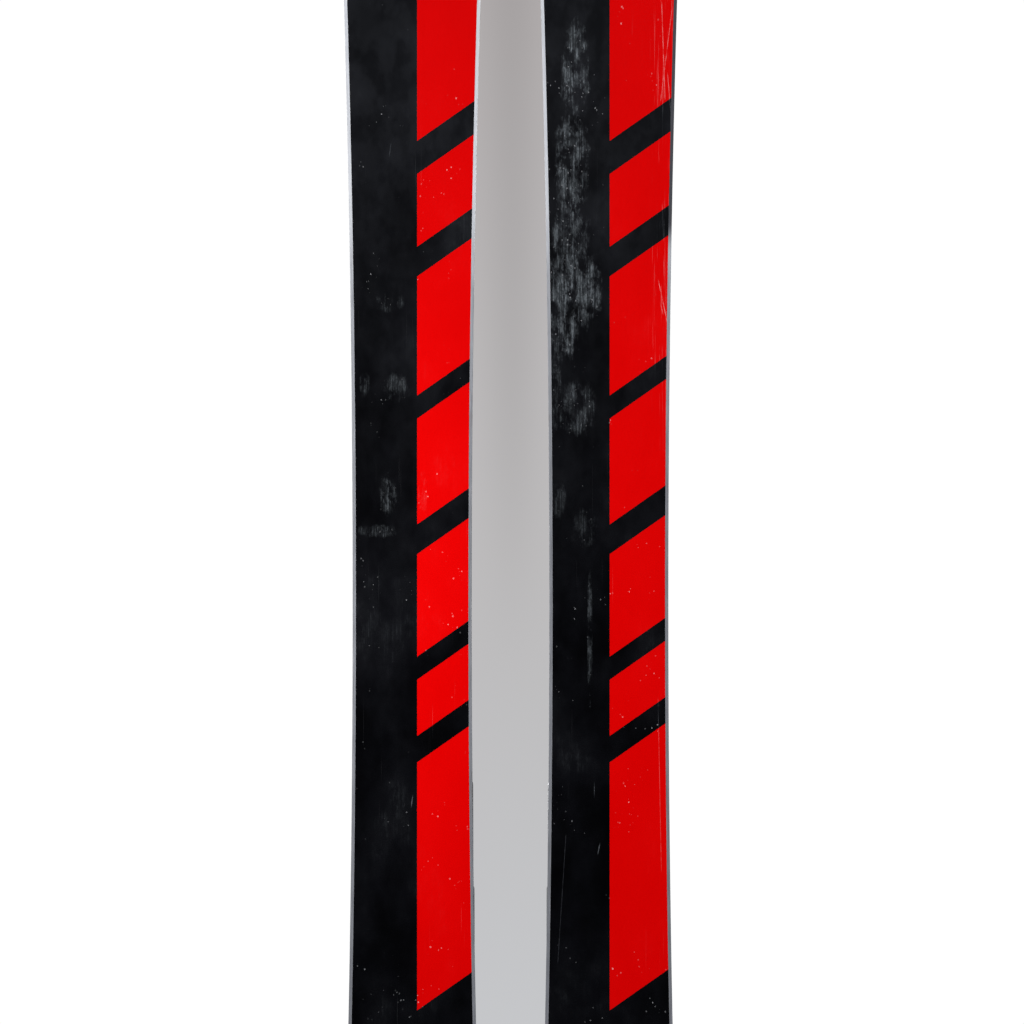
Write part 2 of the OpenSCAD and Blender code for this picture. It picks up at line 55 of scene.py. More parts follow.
# ------------------------------------------------------------------------------------------
# The ski's frame and curves (mm)
# ------------------------------------------------------------------------------------------
LENGTH = 1560.0
WAIST_X, WAIST_WIDTH = 675.0, 72.0
SHOVEL_WIDTH, TAIL_WIDTH = 118.0, 104.0
SIDECUT_RADIUS = 12500.0
WAIST_THICK, END_THICK = 15.5, 6.0
CAMBER, TIP_RISE, TAIL_RISE = 4.0, 48.0, 4.0
BOOT_X = 690.0
FLAT_START, FLAT_END = BOOT_X - 330, BOOT_X + 330        # flat and evenly thick under the boot
CONTACT_START, CONTACT_END = 70.0, LENGTH - 230
GUARD_START, GUARD_END = 16.0, LENGTH - 40               # the end guards lie beyond these
TOP_Z = CAMBER + WAIST_THICK
TAIL_CORNER, TAIL_BLEND = 30, 60                         # where the tail's corner and blend end
TIP_BLEND_START, TIP_BLEND_END = LENGTH - 145, LENGTH - 109
TIP_POWER = 2 / 2.2                                      # superellipse of the tip


def origin(side):
    low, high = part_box(side + "_steel_edges")
    return Vector(((low.x + high.x) / 2, low.y, 0))


SKI_TO_WORLD = Matrix(((0, .001, 0, 0), (0, 0, .001, 0), (.001, 0, 0, 0), (0, 0, 0, 1)))
PLACE = {side: Matrix.Translation(origin(side)) @ SKI_TO_WORLD for side in SIDES}


def ease(part):
    return 0.5 + 0.5 * math.cos(math.pi * min(max(part, 0), 1))


def rise(x):
    """Height of the base above the ground plane."""
    if x > CONTACT_END:
        return TIP_RISE * ((x - CONTACT_END) / (LENGTH - CONTACT_END)) ** 2.3
    if x > FLAT_END:
        return CAMBER * ease((x - FLAT_END) / (CONTACT_END - FLAT_END))
    if x >= FLAT_START:
        return CAMBER
    if x > CONTACT_START:
        return CAMBER * ease((FLAT_START - x) / (FLAT_START - CONTACT_START))
    return TAIL_RISE * ((CONTACT_START - x) / CONTACT_START) ** 2


def thickness(x):
    if x > FLAT_END:
        part = ease((x - FLAT_END) / (LENGTH - 90 - FLAT_END))
        return END_THICK - 1 + (WAIST_THICK - END_THICK + 1) * part
    if x >= FLAT_START:
        return WAIST_THICK
    part = ease((FLAT_START - x) / (FLAT_START - 10))
    return END_THICK + (WAIST_THICK - END_THICK) * part


def sidecut(x):
    return WAIST_WIDTH / 2 + (x - WAIST_X) ** 2 / (2 * SIDECUT_RADIUS)


def flatten_out(part, start, end):
    """From start to end, level where it arrives."""
    return start + (end - start) * (2 * part - part * part)


def half_outline():
    """The +y half of the plan as (x, y), from the middle of the tail to the tip."""
    points = [(0.0, 0.0), (0.0, 10.0), (0.0, 20.0)]
    quarter = TAIL_WIDTH / 4
    for i in range(18, 0, -1):
        angle = math.radians(i * 90 / 18)
        points.append((TAIL_CORNER - TAIL_CORNER * math.sin(angle),
                       quarter + quarter * math.cos(angle)))
    for i in range(7):
        points.append((TAIL_CORNER + i * 5,
                       flatten_out(1 - i / 6, sidecut(TAIL_BLEND), TAIL_WIDTH / 2)))
    for i in range(1, 151):
        x = TAIL_BLEND + i * (TIP_BLEND_START - TAIL_BLEND) / 150
        points.append((x, sidecut(x)))
    for i in range(1, 10):
        x = TIP_BLEND_START + i * (TIP_BLEND_END - TIP_BLEND_START) / 9
        points.append((x, flatten_out(i / 9, sidecut(TIP_BLEND_START), SHOVEL_WIDTH / 2)))
    for i in range(1, 60):
        angle = math.radians(i * 90 / 60)
        points.append((TIP_BLEND_END + (LENGTH - TIP_BLEND_END) * math.sin(angle) ** TIP_POWER,
                       SHOVEL_WIDTH / 2 * math.cos(angle) ** TIP_POWER))
    points.append((LENGTH, 0.0))
    return points


OUTLINE = half_outline()


def inward(i):
    """Unit normal at an outline point, towards the inside of the ski."""
    last = len(OUTLINE) - 1
    before = OUTLINE[i - 1] if i > 0 else (OUTLINE[1][0], -OUTLINE[1][1])
    after = OUTLINE[i + 1] if i < last else (OUTLINE[-2][0], -OUTLINE[-2][1])
    along = Vector((after[0] - before[0], after[1] - before[1])).normalized()
    return Vector((along.y, -along.x))


INWARD = [inward(i) for i in range(len(OUTLINE))]


def at_station(station):
    """The outline at one x, as (x, y, normal x, normal y)."""
    for i in range(3, len(OUTLINE) - 1):
        (x0, y0), (x1, y1) = OUTLINE[i], OUTLINE[i + 1]
        if x0 <= station <= x1:
            part = (station - x0) / max(x1 - x0, 1e-9)
            normal = INWARD[i].lerp(INWARD[i + 1], part).normalized()
            return (station, y0 + part * (y1 - y0), normal.x, normal.y)
    raise ValueError(station)


def clip_outline(start, end):
    """The half outline between two stations, with points made at the stations themselves."""
    points = []
    for (x, y), normal in zip(OUTLINE, INWARD):
        if (start + 0.6 < x < end - 0.6 or (start <= 0 and x <= 0.6)
                or (end >= LENGTH and x >= LENGTH - 0.6)):
            points.append((x, y, normal.x, normal.y))
    if start > 0:
        points.insert(0, at_station(start))
    if end < LENGTH:
        points.append(at_station(end))
    return points


def bend(x, y, z):
    """A point of the flat ski moved onto its curve."""
    slope = math.atan2(rise(x + 0.5) - rise(x - 0.5), 1)
    return Vector((x - z * math.sin(slope), y, rise(x) + z * math.cos(slope)))


def top(depth):
    """A level measured down from the top sheet; plain numbers are measured up from the base."""
    return ("top", depth)


def inset_point(point, inset, level, share):
    """A point in from the outline; share is its part of the half width, -1 to 1."""
    x = point[0] + inset * point[2]
    y = max(point[1] + inset * point[3], 0.0)
    z = thickness(x) - level[1] if isinstance(level, tuple) else level
    return bend(x, share * y, z)


# ------------------------------------------------------------------------------------------
# Mesh builders
# ------------------------------------------------------------------------------------------
def outward(mesh):
    bmesh.ops.recalc_face_normals(mesh, faces=mesh.faces)
    return mesh


def strip(mesh, first, second):
    """Faces between two open rows of vertices."""
    for k in range(len(first) - 1):
        mesh.faces.new((first[k], first[k + 1], second[k + 1], second[k]))


def bridge(mesh, first, second):
    """Faces between two closed rings of vertices."""
    count = len(first)
    for k in range(count):
        after = (k + 1) % count
        mesh.faces.new((first[k], first[after], second[after], second[k]))


def skin(mesh, rings):
    for first, second in zip(rings, rings[1:]):
        bridge(mesh, first, second)
    mesh.faces.new(rings[0])
    mesh.faces.new(rings[-1])


def rim(start, end, section):
    """Strips along both sides of the ski, from a closed section of (inset, level) points."""
    mesh = bmesh.new()
    points = clip_outline(start, end)
    for side in (1, -1):
        skin(mesh, [[mesh.verts.new(inset_point(point, inset, level, side))
                     for inset, level in section] for point in points])
    return outward(mesh)


def plate(start, end, section, across=12):
    """A full-width sheet; section goes from the bottom's edge to the top's as (inset, level)."""
    mesh = bmesh.new()
    points = clip_outline(start, end)
    square_tail = start <= 0
    if square_tail:   # the first row is the whole width of that end
        points = [p for p in points if not (p[0] < 0.001 and p[1] < TAIL_WIDTH / 4 - 0.1)]

    def line(point, inset, level):
        """Vertices across the ski, from +y to -y."""
        return [mesh.verts.new(inset_point(point, inset, level, 1 - 2 * k / across))
                for k in range(across + 1)]

    bottoms, tops, flanks = [], [], []
    for i, point in enumerate(points):
        if i == 0 and square_tail:
            rows = [line(point, inset, level) for inset, level in section]
            for first, second in zip(rows, rows[1:]):
                strip(mesh, first, second)
            bottoms.append(rows[0])
            tops.append(rows[-1])
            flanks.append([[row[0] for row in rows], [row[-1] for row in rows]])
            continue
        bottoms.append(line(point, *section[0]))
        tops.append(line(point, *section[-1]))
        flanks.append([[bottoms[i][column]]
                       + [mesh.verts.new(inset_point(point, inset, level, side))
                          for inset, level in section[1:-1]]
                       + [tops[i][column]] for side, column in ((1, 0), (-1, across))])
    for i in range(len(points) - 1):
        strip(mesh, bottoms[i], bottoms[i + 1])
        strip(mesh, tops[i], tops[i + 1])
        for k in (0, 1):
            strip(mesh, flanks[i][k], flanks[i + 1][k])
    for i, is_closed in ((0, square_tail), (len(points) - 1, end >= LENGTH)):
        if not is_closed:
            mesh.faces.new(bottoms[i] + flanks[i][1][1:-1] + tops[i][::-1]
                           + flanks[i][0][1:-1][::-1])
    tidy(mesh, merge=0.004, degenerate=0.002)
    return outward(mesh)


def tidy(mesh, merge, degenerate):
    bmesh.ops.remove_doubles(mesh, verts=mesh.verts, dist=merge)
    bmesh.ops.dissolve_degenerate(mesh, edges=mesh.edges, dist=degenerate)


def solid_between(low, high):
    """A closed solid between two matching loops of positions."""
    mesh = bmesh.new()
    low = [mesh.verts.new(p) for p in low]
    high = [mesh.verts.new(p) for p in high]
    mesh.faces.new(low)
    mesh.faces.new(high)
    bridge(mesh, low, high)
    return outward(mesh)


def prism(polygon, axis, low, high):
    """The polygon is in (y, z) for axis x, (x, z) for axis y, (x, y) for axis z."""
    put = {"x": lambda a, b, along: (along, a, b),
           "y": lambda a, b, along: (a, along, b),
           "z": lambda a, b, along: (a, b, along)}[axis]
    return solid_between(*[[put(a, b, along) for a, b in polygon] for along in (low, high)])


def circle(mesh, centre, along, across, radius, segments):
    other = along.cross(across)
    angles = [2 * math.pi * k / segments for k in range(segments)]
    return [mesh.verts.new(centre + (across * math.cos(a) + other * math.sin(a)) * radius)
            for a in angles]


def lathe(profile, start, direction, segments=48):
    """A turned solid about a line; profile is (distance along, radius), both ends closed."""
    mesh = bmesh.new()
    along = Vector(direction).normalized()
    across = along.orthogonal().normalized()
    start = Vector(start)
    skin(mesh, [circle(mesh, start + along * distance, along, across, radius, segments)
                for distance, radius in profile])
    return outward(mesh)


def cylinder(start, end, radius, segments, chamfer):
    axis = Vector(end) - Vector(start)
    length = axis.length
    cut = min(chamfer, length / 3, radius / 3)
    profile = [(0, radius - cut), (cut * 0.3, radius - cut * 0.3), (cut, radius),
               (length - cut, radius), (length - cut * 0.3, radius - cut * 0.3),
               (length, radius - cut)]
    return lathe(profile, start, axis, segments)


def hole(start, end, radius, segments=48):
    axis = Vector(end) - Vector(start)
    return lathe([(0, radius), (axis.length, radius)], start, axis, segments)


def tube(path, radius, segments):
    """A round rod along a path, with chamfered ends."""
    mesh = bmesh.new()
    path = [Vector(p) for p in path]
    last = len(path) - 1
    across = (path[1] - path[0]).normalized().orthogonal().normalized()
    rings = []
    for i, centre in enumerate(path):
        along = (path[min(i + 1, last)] - path[max(i - 1, 0)]).normalized()
        across = (across - along * across.dot(along)).normalized()
        chamfer = along * radius * 0.28
        circles = [(centre, radius)]
        if i == 0:
            circles = [(centre, radius * 0.72), (centre + chamfer, radius)]
        elif i == last:
            circles = [(centre - chamfer, radius), (centre, radius * 0.72)]
        for middle, size in circles:
            rings.append(circle(mesh, middle, along, across, size, segments))
    skin(mesh, rings)
    return outward(mesh)


def coil(start, direction, length, radius, wire, turns):
    """A compression spring with closed end coils; wire is the wire's radius."""
    along = Vector(direction).normalized()
    across = along.orthogonal().normalized()
    other = along.cross(across)
    count = int(turns * 28)
    closed = 0.09   # share of the turns closed up at each end
    path = []
    for i in range(count + 1):
        part = i / count
        if part < closed:
            travel = (part / closed) * wire
        elif part > 1 - closed:
            travel = length - 2 * wire - (1 - part) / closed * wire
        else:
            travel = wire + (part - closed) / (1 - 2 * closed) * (length - 4 * wire)
        angle = 2 * math.pi * turns * part
        path.append(Vector(start) + along * (wire + travel)
                    + (across * math.cos(angle) + other * math.sin(angle)) * radius)
    return tube(path, wire, 10)


def arc(centre_x, centre_y, radius, start, end, steps):
    angles = [math.radians(start + (end - start) * i / steps) for i in range(steps + 1)]
    return [(centre_x + radius * math.cos(a), centre_y + radius * math.sin(a)) for a in angles]


def sector(centre_x, inner, outer, start, end, steps):
    """Part of a ring whose centre lies on the middle line."""
    return (arc(centre_x, 0, inner, start, end, steps)
            + arc(centre_x, 0, outer, end, start, steps))


def round_poly(polygon, radii, steps=5):
    """A polygon with rounded corners; radii is one radius or one per corner."""
    points = []
    count = len(polygon)
    for i in range(count):
        corner = Vector(polygon[i])
        back = Vector(polygon[i - 1]) - corner
        on = Vector(polygon[(i + 1) % count]) - corner
        radius = radii[i] if isinstance(radii, (list, tuple)) else radii
        room = min(back.length * 0.48, on.length * 0.48)
        back.normalize()
        on.normalize()
        angle = back.angle(on)
        if radius <= 0 or angle > math.radians(176):
            points.append(tuple(corner))
            continue
        reach = min(radius / math.tan(angle / 2), room)
        radius = reach * math.tan(angle / 2)
        centre = corner + (back + on).normalized() * (radius / math.sin(angle / 2))
        start, end = corner + back * reach - centre, corner + on * reach - centre
        turn = math.pi - angle
        for k in range(steps + 1):
            part = k / steps
            arm = start * math.sin((1 - part) * turn) + end * math.sin(part * turn)
            points.append(tuple(centre + arm / math.sin(turn)))
    return points


def rounded_prism(polygon, radii, axis, low, high, steps=5):
    return prism(round_poly(polygon, radii, steps), axis, low, high)


def block(first, second, depth, radii=0, steps=5, axis="z"):
    """A box from (low, high) spans; first and second are the prism's polygon directions."""
    (x0, x1), (y0, y1) = first, second
    corners = [(x0, y0), (x1, y0), (x1, y1), (x0, y1)]
    return rounded_prism(corners, radii, axis, *depth, steps)


def block_row(first, pitch, count, second, depth, radii=0, steps=5, axis="z"):
    """Equal blocks stepping along x; first is the x span of the first one."""
    return [block([x + i * pitch for x in first], second, depth, radii, steps, axis)
            for i in range(count)]


def span(side, near, far):
    """The y span between two distances from the middle, on side 1 or -1."""
    return sorted((side * near, side * far))


def bevelled(mesh, width, segments=2, angle=30):
    edges = [e for e in mesh.edges
             if len(e.link_faces) == 2 and e.calc_face_angle(0) > math.radians(angle)]
    bmesh.ops.bevel(mesh, geom=edges, offset=width, segments=segments, profile=0.5,
                    affect="EDGES", clamp_overlap=True)
    return mesh


def joined(*meshes):
    result = bmesh.new()
    for mesh in meshes:
        data = bpy.data.meshes.new("tmp")
        mesh.to_mesh(data)
        result.from_mesh(data)
        bpy.data.meshes.remove(data)
    return result


def mirrored(mesh):
    mesh = mesh.copy()
    for vertex in mesh.verts:
        vertex.co.y = -vertex.co.y
    bmesh.ops.reverse_faces(mesh, faces=mesh.faces)
    return mesh


def add_object(name, mesh):
    data = bpy.data.meshes.new(name)
    mesh.to_mesh(data)
    thing = bpy.data.objects.new(name, data)
    bpy.context.scene.collection.objects.link(thing)
    return thing


def baked(target, tools=()):
    """The target's mesh after its modifiers; the target and its tools are removed."""
    bpy.context.view_layer.update()
    evaluated = target.evaluated_get(bpy.context.evaluated_depsgraph_get())
    result = bpy.data.meshes.new_from_object(evaluated)
    mesh = bmesh.new()
    mesh.from_mesh(result)
    for thing in (target, *tools):
        data = thing.data
        bpy.data.objects.remove(thing)
        bpy.data.meshes.remove(data)
    bpy.data.meshes.remove(result)
    return mesh


def boolean(mesh, others, operation="DIFFERENCE"):
    """The mesh with each of the others taken away from it or added to it."""
    target = add_object("tmp", mesh)
    tools = [add_object("tmp", other) for other in others]
    for tool in tools:
        modifier = target.modifiers.new("boolean", "BOOLEAN")
        modifier.operation = operation
        modifier.solver = "EXACT"
        modifier.object = tool
    result = baked(target, tools)
    tidy(result, merge=0.003, degenerate=0.002)
    if not result.faces:
        raise ValueError("a cut or a join left nothing")
    return result


def union(first, *others):
    return boolean(first, others, "UNION")


def softened(mesh, width=0.35, angle=32):
    """A small bevel on every sharp edge."""
    target = add_object("tmp", mesh)
    modifier = target.modifiers.new("bevel", "BEVEL")
    modifier.width = width
    modifier.segments = 2
    modifier.limit_method = "ANGLE"
    modifier.angle_limit = math.radians(angle)
    modifier.use_clamp_overlap = True
    return baked(target)


def on_ski(mesh):
    """From the binding's frame to the ski's."""
    bmesh.ops.translate(mesh, verts=mesh.verts, vec=(BOOT_X, 0, TOP_Z))
    return mesh


def piece(name, side, mesh, body, material, angle, replaces=True):
    """One object on one ski; faces meeting at more than angle are shaded sharp."""
    data = bpy.data.meshes.new(f"{side}_{name}_shape")
    mesh.to_mesh(data)
    data.transform(PLACE[side])
    data.update()
    data.polygons.foreach_set("use_smooth", [True] * len(data.polygons))
    data.set_sharp_from_angle(angle=math.radians(angle))
    data.materials.append(material)
    thing = bpy.data.objects.new(f"{side}_{name}_shape", data)
    bpy.context.scene.collection.objects.link(thing)
    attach(thing, f"{side}_{body}")
    if replaces:
        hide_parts(f"{side}_{name}")


def both(name, mesh, body, material, angle=35):
    for side in SIDES:
        piece(name, side, mesh, body, material, angle)


def fit(name, mesh, body, material, angle=35):
    """A binding piece on both skis."""
    both(name, on_ski(mesh), body, material, angle)


def fit_pair(name, mesh, body, material, angle, replaces=True):
    """A handed pair of binding pieces on both skis, from the one at +y."""
    plus = on_ski(mesh)
    minus = mirrored(plus)
    for side, wheres in (("left", ("inner", "outer")), ("right", ("outer", "inner"))):
        for where, half in zip(wheres, (plus, minus)):
            piece(f"{name}_{where}", side, half, f"{body}_{where}", material, angle,
                  replaces)


# ------------------------------------------------------------------------------------------
# Shader graphs (metres)
# ------------------------------------------------------------------------------------------
class Field:
    """A node's output, with arithmetic that adds nodes to its graph."""

    def __init__(self, graph, socket):
        self.graph, self.socket = graph, socket

    def __add__(self, other):
        return self.graph.math("ADD", self, other)

    def __sub__(self, other):
        return self.graph.math("SUBTRACT", self, other)

    def __rsub__(self, other):
        return self.graph.math("SUBTRACT", other, self)

    def __mul__(self, other):
        return self.graph.math("MULTIPLY", self, other)

    def __truediv__(self, other):
        return self.graph.math("DIVIDE", self, other)

    def __pow__(self, other):
        return self.graph.math("POWER", self, other)

    def __abs__(self):
        return self.graph.math("ABSOLUTE", self)

    def max(self, other):
        return self.graph.math("MAXIMUM", self, other)

    def times(self, factor, plus):
        return self.graph.math("MULTIPLY_ADD", self, factor, plus)

    def remap(self, low, high, start=0.3, end=0.7, shape="LINEAR"):
        """From low to high, clamped, as the field goes from start to end."""
        props = {"interpolation_type": shape, "clamp": True}
        return self.graph.value("ShaderNodeMapRange", 0, props,
                                _0=self, _1=start, _2=end, _3=low, _4=high)

    def step(self, start, end, low=0.0, high=1.0):
        """The same with smooth ends; start may be above end."""
        return self.remap(low, high, start, end, "SMOOTHSTEP")

    def bump(self, distance, strength):
        return self.graph.value("ShaderNodeBump", 0, Height=self, Distance=distance,
                                Strength=strength)


class Graph:
    def __init__(self, tree):
        self.tree = tree
        tree.nodes.clear()

    def node(self, kind, props=None, **inputs):
        """Inputs are given by number (_0) or by name, with _ for a space."""
        node = self.tree.nodes.new(kind)
        for key, value in (props or {}).items():
            setattr(node, key, value)
        for key, value in inputs.items():
            socket = node.inputs[int(key[1:]) if key[0] == "_" else key.replace("_", " ")]
            if isinstance(value, Field):
                self.tree.links.new(value.socket, socket)
            elif socket.type == "RGBA":
                socket.default_value = (*value, 1)
            else:
                socket.default_value = value
        return node

    def value(self, kind, output=0, props=None, **inputs):
        return Field(self, self.node(kind, props, **inputs).outputs[output])

    def math(self, operation, first, second=0.0, third=0.0, clamp=False):
        return self.value("ShaderNodeMath", 0, {"operation": operation, "use_clamp": clamp},
                          _0=first, _1=second, _2=third)

    def xyz(self, vector):
        node = self.node("ShaderNodeSeparateXYZ", _0=vector)
        return [Field(self, socket) for socket in node.outputs]

    def mix(self, factor, first, second, blend="MIX"):
        return self.value("ShaderNodeMix", 2, {"data_type": "RGBA", "blend_type": blend},
                          _0=factor, _6=first, _7=second)

    def ramp(self, factor, stops):
        """Stops are (position, colour)."""
        node = self.node("ShaderNodeValToRGB", _0=factor)
        elements = node.color_ramp.elements
        while len(elements) < len(stops):
            elements.new(0.5)
        for element, (position, color) in zip(elements, stops):
            element.position = position
            element.color = (*color, 1)
        return Field(self, node.outputs[0])


class Material(Graph):
    def __init__(self, name):
        self.material = bpy.data.materials.new(name)
        self.material.use_nodes = True
        super().__init__(self.material.node_tree)
        self.end = self.node("ShaderNodeOutputMaterial")
        self.place = self.value("ShaderNodeTexCoord", "Object")

    def scaled(self, stretch, offset=(0, 0, 0)):
        return self.value("ShaderNodeMapping", 0, {"vector_type": "POINT"}, Vector=self.place,
                          Scale=stretch, Location=offset)

    def noise(self, stretch=(1, 1, 1), scale=1.0, detail=3.0, rough=0.55, offset=(0, 0, 0),
              distortion=0.0):
        return self.value("ShaderNodeTexNoise", "Fac", Vector=self.scaled(stretch, offset),
                          Scale=scale, Detail=detail, Roughness=rough, Distortion=distortion)

    def between(self, factor, first, second):
        return (second - first).times(factor, plus=first)

    def edge_wear(self, start=0.03, end=0.16):
        """1 where the surface turns a sharp corner."""
        rounded = self.value("ShaderNodeBevel", 0, {"samples": 4}, Radius=0.0007)
        actual = self.value("ShaderNodeNewGeometry", "Normal")
        likeness = self.value("ShaderNodeVectorMath", "Value", {"operation": "DOT_PRODUCT"},
                              _0=rounded, _1=actual)
        return (1.0 - likeness).step(start, end)

    def finish(self, color, rough, normal, metallic=0.0, specular=0.5, coat=0.0,
               coat_rough=0.1):
        shader = self.value("ShaderNodeBsdfPrincipled", 0, Base_Color=color, Roughness=rough,
                            Metallic=metallic, Specular_IOR_Level=specular, Coat_Weight=coat,
                            Coat_Roughness=coat_rough, Normal=normal)
        self.tree.links.new(shader.socket, self.end.inputs["Surface"])
        return self.material


# ------------------------------------------------------------------------------------------
# Base materials
# ------------------------------------------------------------------------------------------
# Hazed places on the bases: centre x, centre z, half width, half height, strength
HAZE = [
    (0.039, 0.995, 0.0085, 0.033, 1.0), (0.037, 0.938, 0.0105, 0.04, 0.95),
    (0.036, 0.898, 0.012, 0.017, 0.7), (0.037, 0.864, 0.019, 0.026, 0.9),
    (0.033, 0.839, 0.01, 0.018, 0.7), (0.04, 0.793, 0.012, 0.016, 0.45),
    (0.0265, 0.805, 0.004, 0.026, 0.34), (0.048, 0.652, 0.0017, 0.042, 0.38),
    (0.045, 0.72, 0.009, 0.012, 0.15), (0.029, 0.737, 0.005, 0.012, 0.17),
    (-0.069, 0.805, 0.0085, 0.0085, 0.28), (-0.0885, 0.8065, 0.0035, 0.0075, 0.22),
    (-0.074, 0.74, 0.0055, 0.013, 0.36), (-0.08, 0.718, 0.013, 0.004, 0.22),
    (-0.073, 0.856, 0.01, 0.006, 0.22), (-0.053, 0.739, 0.003, 0.015, 0.5),
    (-0.07, 1.18, 0.015, 0.07, 0.6), (0.05, 1.23, 0.02, 0.05, 0.6),
    (-0.08, 0.26, 0.015, 0.06, 0.55), (0.035, 0.3, 0.012, 0.07, 0.55),
]
# Long thin scratches: x and z of the upper end, x and z of the lower end, half width, strength
SCRATCHES = [
    (0.0914, 1.039, 0.0935, 0.978, 0.00032, 0.85), (0.098, 1.036, 0.0906, 0.9765, 0.00026, 0.8),
    (0.0949, 0.996, 0.0975, 0.965, 0.00026, 0.8), (0.0892, 0.8708, 0.0968, 0.8351, 0.00034, 0.9),
    (0.0905, 0.857, 0.0925, 0.848, 0.00026, 0.8), (-0.0721, 0.9536, -0.0735, 0.9436, 0.0003, 0.7),
    (0.0892, 0.6179, 0.0913, 0.5109, 0.00024, 0.35),
    (0.0336, 0.5353, 0.0285, 0.4551, 0.00022, 0.35),
    (0.0507, 0.5667, 0.0507, 0.556, 0.00026, 0.7), (-0.059, 0.559, -0.0602, 0.55, 0.00042, 1.0),
    (0.0543, 0.53, 0.0526, 0.5215, 0.0004, 1.0), (-0.045, 1.33, -0.06, 1.22, 0.00028, 0.5),
    (0.07, 0.35, 0.079, 0.25, 0.0003, 0.5),
]


def haze_spots(g, x, z):
    """1 in the middle of each ragged ellipse, falling to 0 at its rim."""
    cloud = g.noise((260, 260, 110), detail=4.0, rough=0.7, offset=(0.5, 0, 6.1))
    ragged = (cloud - 0.5) * 2.4

    def spot(middle_x, middle_z, half_width, half_height, strength):
        across = ((x - middle_x) / half_width) ** 2.0
        along = ((z - middle_z) / half_height) ** 2.0
        return (across + along + ragged).step(start=1.15, end=0.25) * strength

    return reduce(Field.max, (spot(*row) for row in HAZE))


def long_scratches(g, x, z):
    """1 along the long thin scratches, broken here and there."""
    fade = 0.004   # length over which an end fades

    def scratch(x0, z0, x1, z1, half_width, strength):
        line = (z - z0).times((x1 - x0) / (z1 - z0), plus=x0)
        near = abs(x - line).step(start=half_width, end=0.2 * half_width) * strength
        return near * (z.step(z1, z1 + fade) * z.step(z0, z0 - fade))

    total = reduce(Field.max, (scratch(*row) for row in SCRATCHES))
    gaps = g.noise((90, 90, 240), detail=4.0, rough=0.7, offset=(3, 8, 1))
    return total * gaps.remap(start=0.36, end=0.62, low=0.15, high=1.0)


def base_wear(g):
    """Haze, specks, fine scratches, rubbed lines and clouds, each 0 to 1."""
    x, _, z = g.xyz(g.place)
    columns = g.noise((1250, 1250, 30), rough=0.65)
    broken = g.noise((1000, 1000, 240), detail=4.0, rough=0.8, distortion=0.6)
    patches = g.noise((150, 150, 75), detail=5.0, rough=0.7)
    clouds = g.noise((22, 22, 15), detail=4.0, rough=0.6, offset=(3.1, 0, 1.7))
    grain = columns.times(0.5, plus=broken * 0.5).step(start=0.46, end=0.62)
    grain = grain * patches.step(start=0.40, end=0.60)
    grain = grain.times(0.80, plus=patches.step(start=0.40, end=0.68) * 0.22)
    spots = haze_spots(g, x, z)
    faint = clouds.step(start=0.56, end=0.72) * 0.07
    haze = g.math("MULTIPLY", grain, spots.max(faint), clamp=True)
    # specks of uneven size and shape, crowded in a few places
    size = g.noise((330, 330, 330), detail=2.0, offset=(4, 4, 4))
    size = size.remap(start=0.42, end=0.66, low=0.0, high=0.24)
    lumpy = g.noise((2600, 2600, 1700), detail=2.0) * 0.22
    cells = g.value("ShaderNodeTexVoronoi", "Distance", {"feature": "F1"},
                    Vector=g.scaled((1, 1, 0.8)), Scale=430.0, Randomness=1.0)
    crowds = g.noise((60, 60, 60), offset=(7, 1, 3)).step(start=0.56, end=0.70)
    specks = (cells + lumpy - size).step(start=0.13, end=0.03) * crowds.max(spots * 0.8)
    lines = g.noise((2100, 2100, 11), detail=2.0, rough=0.5, offset=(1.3, 0, 4.1))
    where = g.noise((40, 40, 9), detail=2.0, offset=(9.7, 0, 2.2))
    scratches = lines.step(start=0.68, end=0.75) * where.step(start=0.50, end=0.64)
    # long fine lines on the outer side of the right ski
    height = z.step(start=0.74, end=0.86) * z.step(start=1.30, end=1.10)
    place = x.step(start=0.083, end=0.091) * height
    rub = g.noise((1700, 1700, 20), rough=0.65, offset=(2, 2, 6))
    gaps = g.noise((120, 120, 34), offset=(6, 2, 3)).step(start=0.42, end=0.56)
    rubbed = rub.step(start=0.57, end=0.71) * gaps * (place * 0.6)
    return haze, specks, scratches, rubbed.max(long_scratches(g, x, z)), clouds


def base_black():
    g = Material("base_black_sintered")
    haze, specks, scratches, rubbed, clouds = base_wear(g)
    blots = g.noise((95, 95, 62), offset=(2.2, 0, 8.4)).step(start=0.36, end=0.60)
    color = g.mix(clouds.step(start=0.35, end=0.65),
                  (0.0010, 0.0010, 0.0013), (0.0024, 0.0025, 0.0034))
    color = g.mix(haze, color, (0.150, 0.168, 0.180))
    color = g.mix(rubbed * 0.55, color, (0.17, 0.18, 0.20))
    color = g.mix(specks * 0.6, color, (0.34, 0.34, 0.35))
    color = g.mix(scratches * 0.16, color, (0.12, 0.12, 0.125))
    rough = clouds.remap(start=0.35, end=0.65, low=0.13, high=0.21)
    rough = g.between(haze * 0.8, rough, 0.6)
    grind = g.noise((2600, 2600, 30), detail=2.0, rough=0.6)
    cross = g.noise((900, 900, 500), rough=0.6)
    relief = grind * 0.6 + cross * 0.4 - scratches * 1.0
    gloss = clouds.remap(start=0.35, end=0.65, low=0.38, high=0.72)
    return g.finish(color, rough, relief.bump(distance=0.00002, strength=0.3),
                    specular=gloss * blots.remap(start=0.0, end=1.0, low=0.62, high=1.0))


